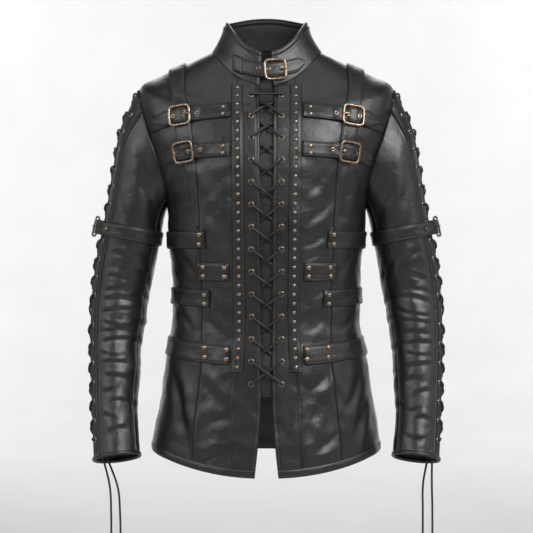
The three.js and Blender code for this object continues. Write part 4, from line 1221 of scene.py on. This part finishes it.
def chest_straps():
    """Two straps a side from the placket through the buckle, and the short one that holds the buckle."""
    for word_up, spec in CHEST.items():
        (x0, z0), (bx, bz), (tip_x, _) = spec["inner"], spec["buckle"], spec["tip"]
        between = [mix(x0, bx, 0.5), mix(z0, bz, 0.42)]
        line = flat_line([spec["inner"], between, spec["buckle"], spec["tip"]], 2.6)
        x = line[:, 0]
        inside = np.exp(-((x - bx) / 9) ** 4)
        lifts = (LIFT + STRAP + 0.7 + smooth(bx - 36, bx - 22, x) * (STRAP + 0.4) + inside * 3.2
                 - smooth(bx + 24, tip_x, x) * 0.4)
        heel = [bx + BUCKLE_LONG / 2 + 1, mix(bz, spec["outer"][1], 0.4)]
        base = flat_line([heel, spec["outer"]], 2.8)
        for side, word in SIDES:
            name = f"{word_up}_{word}"
            strap(f"chest_strap_{name}", line, CHEST_STRAP, lifts, on_front_strap, side=side, tip=16)
            strap(f"chest_base_{name}", base, CHEST_STRAP, LIFT + STRAP + 0.5, on_front_strap, side=side)
            for off in (-6.1, 5.6):
                point, normal = front_at(x0 + 13, z0 + off - 2, LIFT + STRAP + 1.2, side=side)
                fit_metal("chest_rivets", SMALL_RIVET, point, normal, side)
            for hole_x, hole_z in (spec["eyelet"], (bx - 8, bz + 0.5), (bx + 10, bz - 1.5)):
                point, normal = front_at(hole_x, hole_z, float(np.interp(hole_x, x, lifts)) + 0.5, side=side)
                fit_metal("chest_rivets", SMALL_EYELET, point, normal, side)
            at, normal = front_at(bx, bz, 0)
            ahead, _ = front_at(bx + 8, bz - 1.2, 0)
            seat, _ = front_at(bx, bz, 0, side=side)
            along = unit(ahead - at)
            buckle(f"chest_buckle_{name}", seat, normal, along, LIFT + STRAP + 3.9, 2.4, 0.02, side)


chest_straps()


def shoulder_straps():
    """Over the shoulder along the princess seams, broad on the shoulder and narrow at both ends."""
    low, half = 6.3, 14.5
    across = cross_section(2 * half)

    def edge_x(t):
        taper = smooth(low, 9.4, t)
        return column(BODY, PRINCESS, np.minimum(t, 11)) + 2 * across * mix(3.5, half, taper)

    crest = shoulder_ring(edge_x(np.full(len(across), 12.0)))
    rings = mix(low, crest, np.linspace(0, 1, 90)[:, None])
    angles = []
    for t in rings:
        angles.append(angle_at(BODY, np.minimum(edge_x(t), column(BODY, HALF, t)), t))
    angles[-1] = np.full(len(across), 90.0)
    angles += [180 - angle for angle in angles[-2::-1]]
    points, normals = on_ring(BODY, np.array(angles), np.concatenate([rings, rings[-2::-1]]))
    middle = (len(points) - 1) / 2
    crown = 1 - np.minimum(1, np.abs(np.arange(len(points)) - middle) / 60)
    edges = strap_edges(across, 2 * half)
    lifts = LIFT + STRAP + 1.6 * crown[:, None] + edges
    for side, word in SIDES:
        under = body_lift(mirrored(points, side))
        # The strap's edges and channels get painted shade through the dip
        panel(f"shoulder_strap_{word}", (points, normals), thick=STRAP, folds=lifts + under, painted_shade_dip=edges,
              stitches=STRAP_STITCHES, side=side, material="strap")


shoulder_straps()


def belt_height(heights, angle):
    """A level strap's height by angle, from its heights in front, at the side and at the back."""
    front, side, back = heights
    cos = np.cos(np.radians(angle))
    return mix(side, np.where(cos > 0, front, back), cos * cos)


# Level straps: the angle at which one starts, its heights, its width and its rivets
BELTS = {
    "upper_side_strap": (34, (-312, -311, -306), 30, [[112, -303], [112, -319]]),
    "lower_side_strap": (33.5, (-413, -407, -404), 29, [[104, -405], [104, -420]]),
    "waist_belt": (19, (-508, -494, -490), 32, [[103, -494], [103, -510], [67, -497], [67, -513]]),
}
CENTRE_RIVETS = [[106, -358], [106, -373], [70, -359], [70, -374]]
BELT_LIFT = LIFT + STRAP + 0.6


def belt_rivets(places, sides):
    """The rivets of a level strap on one side or both."""
    for x, z in places:
        for side in sides:
            point, normal = front_at(x, z, BELT_LIFT + 0.5, side=side)
            fit_metal("waist_rivets", RIVET, point, normal, side)


def level_straps():
    """Straps round the back above and at the waist, and the two short ones in front."""
    for node, (low, heights, width, rivets) in BELTS.items():
        angle = np.linspace(low, 360 - low, 200)
        centre = turned_line(angle, ROUND_BODY, belt_height(heights, angle))
        strap(node, centre, width, BELT_LIFT, on_belt_strap)
        belt_rivets(rivets, (1, -1))
    angle = np.linspace(19.5, 42.5, 24)
    centre = turned_line(angle, ROUND_BODY, 0 * angle - 366)
    for side, word in SIDES:
        strap(f"centre_strap_{word}", centre, 31, BELT_LIFT, on_belt_strap, side=side)
        belt_rivets(CENTRE_RIVETS, (side,))


level_straps()


def stud_strips():
    """Rows of domed studs on narrow strips over the placket seams."""
    width = 20
    z = np.linspace(-534, -47, 150)
    _, t = front_ring(BODY, 47.0, z)
    seam = column(BODY, SEAM, t)
    across = cross_section(width)
    edges = strap_edges(across, width)
    x, grid_z = both(seam[:, None] + across[None, :] * width, z[:, None])
    points, normals = on_front(BODY, x, grid_z)
    stud_z = np.linspace(-526, -53, 32)
    at, out = on_front(BODY, np.interp(stud_z, z, seam), stud_z)
    for side, word in SIDES:
        folds = LIFT + WALL + edges * 0.8 + body_lift(mirrored(points, side))
        # The strip's edges and channels get painted shade through the dip
        panel(f"stud_strip_{word}", (points, normals), folds=folds, stitches=[(0, 2.2), (1, 2.2), (2, 2.2)],
              side=side, material="strap", painted_shade_dip=edges)
        seats = LIFT + WALL + body_lift(mirrored(at, side))[:, None]
        fit_metal(f"studs_{word}", STUD, at + out * seats, out, side)


stud_strips()


def hem_binding():
    """The turned band along the hem."""
    start = float(angle_at(BODY, BODY[0, EDGE], 0.0)) + 0.1
    angle = np.linspace(start, 360 - start, 420)[:, None]
    up = np.array([0, 0.6, 1.6, 3, 5, 7, 9, 10.6, 11.6, 12.4, 13])[None, :]
    angle, z = both(angle, ring_point(BODY, angle, 0)[..., 2] + up)
    points, normals = on_belt(angle, z)
    band = 0.6 + 1.8 * np.sqrt(np.clip(1 - ((up - 6.5) / 7.2) ** 2, 0, 1)) - 0.7 * bell(up, 0, 0.9)
    panel("hem_binding", (points, normals), folds=band + body_folds(signed(angle), points) * 0.9,
          stitches=[(1, 1.6)])


hem_binding()


# Collar

COLLAR_STRAP_LINE = [[-55, -6], [-42, -13], [-20, -18.5], [0, -20], [15, -19.5], [34, -16], [52, -11],
                     [66, -5]]
COLLAR_BUCKLE = [15, -19.5]
COLLAR_HOLES = [[-13.7, -17.5], [3.5, -19.5], [26, -18]]
COLLAR_STEP = 8


def collar():
    """The stand collar with its stepped rim, its strap, the patch at the strap's start and its buckle."""
    t = mix(0.0, 2, spread(64, 1.7))[:, None]
    start = angle_at(COLLAR, column(COLLAR, EDGE, t), t)
    points, normals = on_ring(COLLAR, mix(start, 360 - start, spread(400, 3.4)[None, :]), t)
    run = run_length(points, 0)
    from_top = run[-1:] - run
    step = -1.1 * bell(from_top, COLLAR_STEP, 1.2)
    roll = -1.2 * bell(from_top, 0, 1.6) + 0.5 * bell(from_top, 12, 3)
    folds = step - 1.7 * smooth(8.4, 6.6, from_top) + roll + waves(points, (40, 80), 0.35, SEED + 13)
    # Painted shade in the rim's step and along the collar's lower edge, where it meets the body, through the
    # dip
    panel("collar", (points, normals), thick=COLLAR_WALL, folds=folds, painted_shade_dip=step - bell(run, 0, 1.4),
          borders=("edge", "edge", "", ""), stitches=[(2, 4.0), (3, 10.6), (0, 5), (1, 5)])
    line = flat_line(COLLAR_STRAP_LINE, 2.4)
    strap("collar_strap", line, 26, LIFT + STRAP, on_collar_strap, tip=15, ride=None)
    x, z = both(np.linspace(-57, -41, 9)[None, :], -10 + np.linspace(-15, 15, 13)[:, None])
    panel("collar_patch", on_front(COLLAR, x, z - 0.45 * (x + 49)), folds=LIFT + STRAP + 1.6, extra=True,
          borders=("edge",) * 4, stitches=[(border, 2.4) for border in range(4)], material="strap")
    at, normal = front_at(*COLLAR_BUCKLE, 0, COLLAR)
    ahead, _ = front_at(COLLAR_BUCKLE[0] - 8, COLLAR_BUCKLE[1] - 0.5, 0, COLLAR)
    buckle("collar_buckle", at, normal, unit(ahead - at), LIFT + STRAP - 0.3, 0)
    for x, z in COLLAR_HOLES:
        point, out = front_at(x, z, LIFT + STRAP + 0.7, COLLAR)
        fit_metal("collar_eyelets", SMALL_EYELET, point, out)


collar()


# Sleeves

BAND_HOLE = 2.7
ELBOW_SEAM_Z = -432

SLEEVE_STITCHES = [(0, 2.2), (2, 3.4)]
BAND_STITCHES = [(0, 2.6), (1, 2.6)]

# Each sleeve piece: its first and last angle, the steps across and the count down, what its first two borders
# are, its stitches and the angle of its eyelets
SLEEVE_PIECES = {
    "top_sleeve": (BAND_EDGE, 148, 2.8, 210, "seam", "seam", SLEEVE_STITCHES, None),
    "under_sleeve": (148, 360 - BAND_EDGE, 3.9, 210, "seam", "seam", SLEEVE_STITCHES, None),
    "sleeve_band_front": (20, BAND_EDGE, 1.9, 250, "edge", "seam", BAND_STITCHES, ARM_EYELET),
    "sleeve_band_back": (-BAND_EDGE, -20, 1.9, 250, "seam", "edge", BAND_STITCHES, -ARM_EYELET),
}


def sleeve_grid(low, high, step, count):
    """A grid of the sleeve between two angles, columns round it and rows down it."""
    s = mix(0, CUFF_ROW, spread(660, 660 / count))[:, None]
    angle = mix(low, high, spread((high - low) * ROUND_SLEEVE, step))[None, :]
    return both(angle, s)


def sleeve_head(s):
    """The fullness of the sleeve just under the armhole seam."""
    return 2.2 * smooth(0.02, 0.16, s) * (1 - smooth(0.2, 0.75, s))


def sleeve_pieces(word, side):
    """Top and under sleeve and the lacing bands with their eyelets."""
    for name, (low, high, step, count, first, last, stitches, eyelets) in SLEEVE_PIECES.items():
        angle, s = sleeve_grid(low, high, step, count)
        points, normals = on_sleeve(angle, s)
        folds = sleeve_folds(angle, points, side)
        keep = None
        if eyelets:
            folds = folds - 0.9 * bell(points[..., 2], ELBOW_SEAM_Z, 1.6)
            rows = ARM_ROWS[eyelets]
            centres, out = on_sleeve(np.full(len(rows), float(eyelets)), rows)
            middles = (points[1:, 1:] + points[:-1, :-1] + points[1:, :-1] + points[:-1, 1:]) / 4
            keep = holes(middles, centres, BAND_HOLE)
            fit_metal(f"sleeve_eyelets_{word}", EYELET, centres + out * sleeve_head(rows)[:, None], out, side)
        panel(f"{name}_{word}", (points, normals), side=side, group=f"sleeve_{word}", keep=keep,
              folds=folds + sleeve_head(s), borders=(first, last, "join", ""), stitches=stitches)


def sleeves():
    """The sleeves' leather, the gussets under the lacing and the cuffs' rolled edges."""
    for side, word in SIDES:
        sleeve_pieces(word, side)
        angle, s = sleeve_grid(-45, 45, 3.6, 120)
        points, normals = on_sleeve(angle, mix(0.05, CUFF_ROW, s / CUFF_ROW))
        sag = -WALL - GUSSET_DROP + waves(points, (20, 50), 0.2, SEED + 15 + side)
        panel(f"sleeve_gusset_{word}", (points, normals), side=side, group=f"sleeve_{word}", folds=sag,
              material="tongue")
        ring = np.linspace(0, 360, 120, endpoint=False)
        path, out = on_sleeve(ring, CUFF_ROW - 0.05)
        points, faces = sweep(mirrored(path - out * 0.4, side), 2.3, 12, closed=True, flat=1.7)
        roll = new_object(f"cuff_binding_{word}_leather", points, faces, [MATERIALS["leather"]])
        dress(roll, [f"cuff_binding_{word}"])


sleeves()


# Laces

LACE_STEPS = ["rise", "rise", "under", *["dive"] * 9, "over"]
INSIDE = -4.4
OUTSIDE = 2.6
NEAR_EDGE = 8.6


def lace(node, points, step, sides, radius):
    """A lace through its points."""
    verts, faces = sweep(curve_through(points, step), radius, sides)
    dress(new_object(f"{node}_cord", verts, faces, [MATERIALS["lace"]]), [node])


def lace_heights(kind, on_top):
    """How far the front lace stands off at five places of a step from row to row."""
    return {
        "rise": [INSIDE, -4.1, 0.6 if on_top else -3.4, 2.6, OUTSIDE],
        "under": [INSIDE, -4.2, -0.4 if on_top else -4.5, -4.2, INSIDE],
        "dive": [OUTSIDE, 2.5, 1.2 if on_top else -2.8, -4.2, INSIDE],
        "over": [OUTSIDE, 4.4 if on_top else 2.4, 6.4 if on_top else 2.3, 4.4 if on_top else 2.4, OUTSIDE],
    }[kind]


def front_lace():
    """Both halves of the front lace, joined by the bar over the top pair of eyelets."""
    places = np.array([FRONT_EYELET_X, NEAR_EDGE, 0, -NEAR_EDGE, -FRONT_EYELET_X])
    down = (FRONT_EYELET_X - places) / (2 * FRONT_EYELET_X)

    def half(side, on_top):
        points = []
        for k, kind in enumerate(LACE_STEPS):
            start = side if k % 2 == 0 else -side
            at, out = on_front(BODY, start * places, mix(FRONT_ROW_Z[k], FRONT_ROW_Z[k + 1], down))
            points += list(at + out * np.array(lace_heights(kind, on_top))[:, None])
        end, _ = front_at(points[-1][0], FRONT_ROW_Z[-1], INSIDE)
        return [*points, end]

    bar = [front_at(x, FRONT_ROW_Z[0], lift)[0]
           for x, lift in ((-FRONT_EYELET_X, OUTSIDE), (0, 2.3), (FRONT_EYELET_X, OUTSIDE))]
    route = [*half(-1, True)[::-1], *bar, *half(1, False)]
    clean = [route[0]]
    for point in route[1:]:
        if np.linalg.norm(point - clean[-1]) > 0.3:
            clean.append(point)
    lace("front_lace", clean, 1.9, 10, 2.1)


front_lace()

# The sleeve lace between two eyelets: angle, share of the way to the next row, and how far it stands off for
# the half that crosses over and for the half that crosses under
CROSSING = [
    (26, 0.11, 3.0, 3.0),
    (19, 0.21, 2.4, 2.4),
    (9, 0.36, 2.2, 0.4),
    (-2, 0.53, 1.9, -1.6),
    (-14, 0.71, -0.9, -0.9),
    (-22, 0.84, -3.4, -3.4),
]


def on_head(angle, s, lift):
    """A point lifted off the sleeve and its fullness, and its normal."""
    point, normal = on_sleeve(np.array(float(angle)), np.array(float(s)))
    return point + normal * (lift + float(sleeve_head(s))), normal


def arm_half(front_first, over):
    """One half of a sleeve lace: out of an eyelet, across, under the far band and out of its eyelet."""
    points = []
    for k in range(len(ARM_ROWS[ARM_EYELET])):
        sign = 1 if front_first == (k % 2 == 0) else -1
        s = ARM_ROWS[sign * ARM_EYELET][k]
        points.append(on_head(sign * ARM_EYELET, s, -4.6)[0])
        points.append(on_head(sign * (ARM_EYELET - 1.2), s, 2.4)[0])
        if k + 1 < len(ARM_ROWS[ARM_EYELET]):
            following = ARM_ROWS[-sign * ARM_EYELET][k + 1]
            for angle, share, high, low in CROSSING:
                points.append(on_head(sign * angle, mix(s, following, share), high if over else low)[0])
    return points


def arm_laces():
    """The lace of each sleeve, with the small knot at its lowest front eyelet."""
    top_front, top_back = ARM_ROWS[ARM_EYELET][0], ARM_ROWS[-ARM_EYELET][0]
    bar = [on_head(angle, mix(top_front, top_back, share), lift)[0]
           for angle, share, lift in ((22, 0, 2.4), (10, 0.4, 0.6), (-10, 0.6, 0.6), (-22, 1, 2.4))]
    route = [*arm_half(True, True)[:0:-1], *bar, *arm_half(False, False)[1:]]
    centre, out = on_head(ARM_EYELET, ARM_ROWS[ARM_EYELET][-1], 3.4)
    ring = np.radians(np.arange(0, 360, 24))
    u = unit(np.cross([0.0, 0.0, 1.0], out))
    v = np.cross(out, u)
    loop = centre + 2.6 * (np.outer(np.cos(ring), u) + np.outer(np.sin(ring), 0.7 * v + 0.5 * out))
    for side, word in SIDES:
        lace(f"sleeve_lace_{word}", [mirrored(point, side) for point in route], 2.3, 8, 2.0)
        points, faces = sweep(mirrored(loop, side), LACE / 2, 8, closed=True)
        dress(new_object(f"sleeve_knot_{word}", points, faces, [MATERIALS["lace"]]), [])


arm_laces()


# Arm straps: by the sleeve's angle, how far the strap stands off

ARM_STATIONS = np.array([
    [-29, 10.8], [-44, 10], [-55, 3.9], [-70, 3.6], [-290, 3.6], [-310, 4.2], [-325, 10.2], [-338, 11.8],
    [-360, 13.8], [-380, 17.8], [-397, 14.2], [-412, 8],
])
ARM_STRAP = 24.5


def arm_height(angle):
    """The arm strap's height by the sleeve's angle."""
    return -299 + 10 * np.cos(np.radians(angle))


def on_sleeve_strap(centre, offsets):
    """Locates a strap round the sleeve by its line of angle and z."""
    angle = np.broadcast_to(centre[:, :1] / ROUND_SLEEVE, offsets.shape)
    return on_sleeve(angle, sleeve_ring(angle, centre[:, 2:3] + offsets))


def on_arm_line(angle):
    """A point of the arm strap's middle line, on the sleeve, and its normal."""
    return on_sleeve(np.array(float(angle)), sleeve_ring(angle, arm_height(angle)))


def arm_straps():
    """Once round the upper arm over the lacing, with its buckle on the outer side."""
    angle = np.linspace(ARM_STATIONS[0, 0], ARM_STATIONS[-1, 0], 150)
    lift = np.interp(-angle, -ARM_STATIONS[:, 0], ARM_STATIONS[:, 1])
    soft = np.convolve(np.pad(lift, 3, mode="edge"), np.ones(7) / 7, "valid")
    centre = turned_line(angle, ROUND_SLEEVE, arm_height(angle))
    at, normal = on_arm_line(2)
    ahead, _ = on_arm_line(-8)
    hole, hole_out = on_arm_line(48)
    for side, word in SIDES:
        def ride(points, side=side):
            turned, _ = both(angle[:, None], points[..., 2])
            return sleeve_folds(turned, mirrored(points, side), side)

        strap(f"arm_strap_{word}", centre, ARM_STRAP, soft, on_sleeve_strap, side=side, tip=14,
              group=f"sleeve_{word}", ride=ride)
        buckle(f"arm_buckle_{word}", at, normal, unit(ahead - at), 9.3, 4.8, 0.105, side)
        fit_metal(f"sleeve_eyelets_{word}", SMALL_EYELET, hole + hole_out * 8.6, hole_out, side)


arm_straps()


# Small metal parts and stitches, one piece for each group

for made, prefix, look, slot_name in ((METAL, "", "brass", "antique_brass"),
                                      (STITCHES, "stitches_", "thread", "black_leather")):
    for group_name, group_parts in made.items():
        group_points, group_faces = joined(group_parts)
        piece = new_object(prefix + group_name, group_points, group_faces, [MATERIALS[look]])
        dress(piece, [])


# Studio, in metres

FLOOR_Z = -1.15
STUDIO_RADIUS = 6.6
STUDIO_TOP = 6.0
COVE = 1.8
COVE_STEPS = 12


def stage():
    """A round pale studio: a floor that curves up into a wall all the way round."""
    inner = STUDIO_RADIUS - COVE
    profile = [(0.0005, FLOOR_Z), (inner, FLOOR_Z)]
    for k in range(1, COVE_STEPS + 1):
        turn = math.pi / 2 * k / COVE_STEPS
        profile.append((inner + COVE * math.sin(turn), FLOOR_Z + COVE * (1 - math.cos(turn))))
    profile.append((STUDIO_RADIUS, STUDIO_TOP))
    points, faces = lathe(profile, 96)
    mesh = bpy.data.meshes.new("backdrop")
    mesh.from_pydata(points.tolist(), [], [face[::-1] for face in faces])
    mesh.polygons.foreach_set("use_smooth", [True] * len(mesh.polygons))
    mesh.materials.append(node_material("backdrop_paper", paper_nodes))
    placed("backdrop", mesh)


def soft_box(name, place, aim, size, power):
    """A large soft light."""
    light = bpy.data.lights.new(name, "AREA")
    light.shape = "RECTANGLE"
    light.size, light.size_y = size
    light.energy = power
    thing = placed(name, light)
    thing.location = place
    east, north, up = np.array(aim, float) - np.array(place, float)
    thing.rotation_euler = (math.atan2(math.hypot(east, north), -up), 0, math.atan2(-east, north))


stage()
soft_box("key", (1.5, -2.4, 1.4), (0, 0, -0.35), (1.9, 1.7), 96)
soft_box("fill", (-1.8, -2.1, 0.9), (0, 0, -0.4), (1.5, 1.6), 27)
soft_box("top", (0, -0.5, 2.2), (0, 0, -0.2), (1.8, 0.9), 8)
for end, word in ((-1, "left"), (1, "right")):
    soft_box(f"backdrop_{word}", (3.2 * end, 3.6, 1.8), (0.2 * end, 6.6, 1.0), (1.6, 2.4), 148)
    soft_box(f"side_{word}", (2.7 * end, -0.9, 0.5), (0, 0, -0.35), (0.8, 1.8), 9)
soft_box("behind", (0, 2.6, 1.9), (0, 0, -0.3), (2.4, 1.2), 30)
world = bpy.data.worlds.new("studio")
world.use_nodes = True
world.node_tree.nodes["Background"].inputs["Color"].default_value = (1, 1, 1, 1)
world.node_tree.nodes["Background"].inputs["Strength"].default_value = 0.05
bpy.context.scene.world = world
bpy.context.scene.view_settings.view_transform = "Standard"
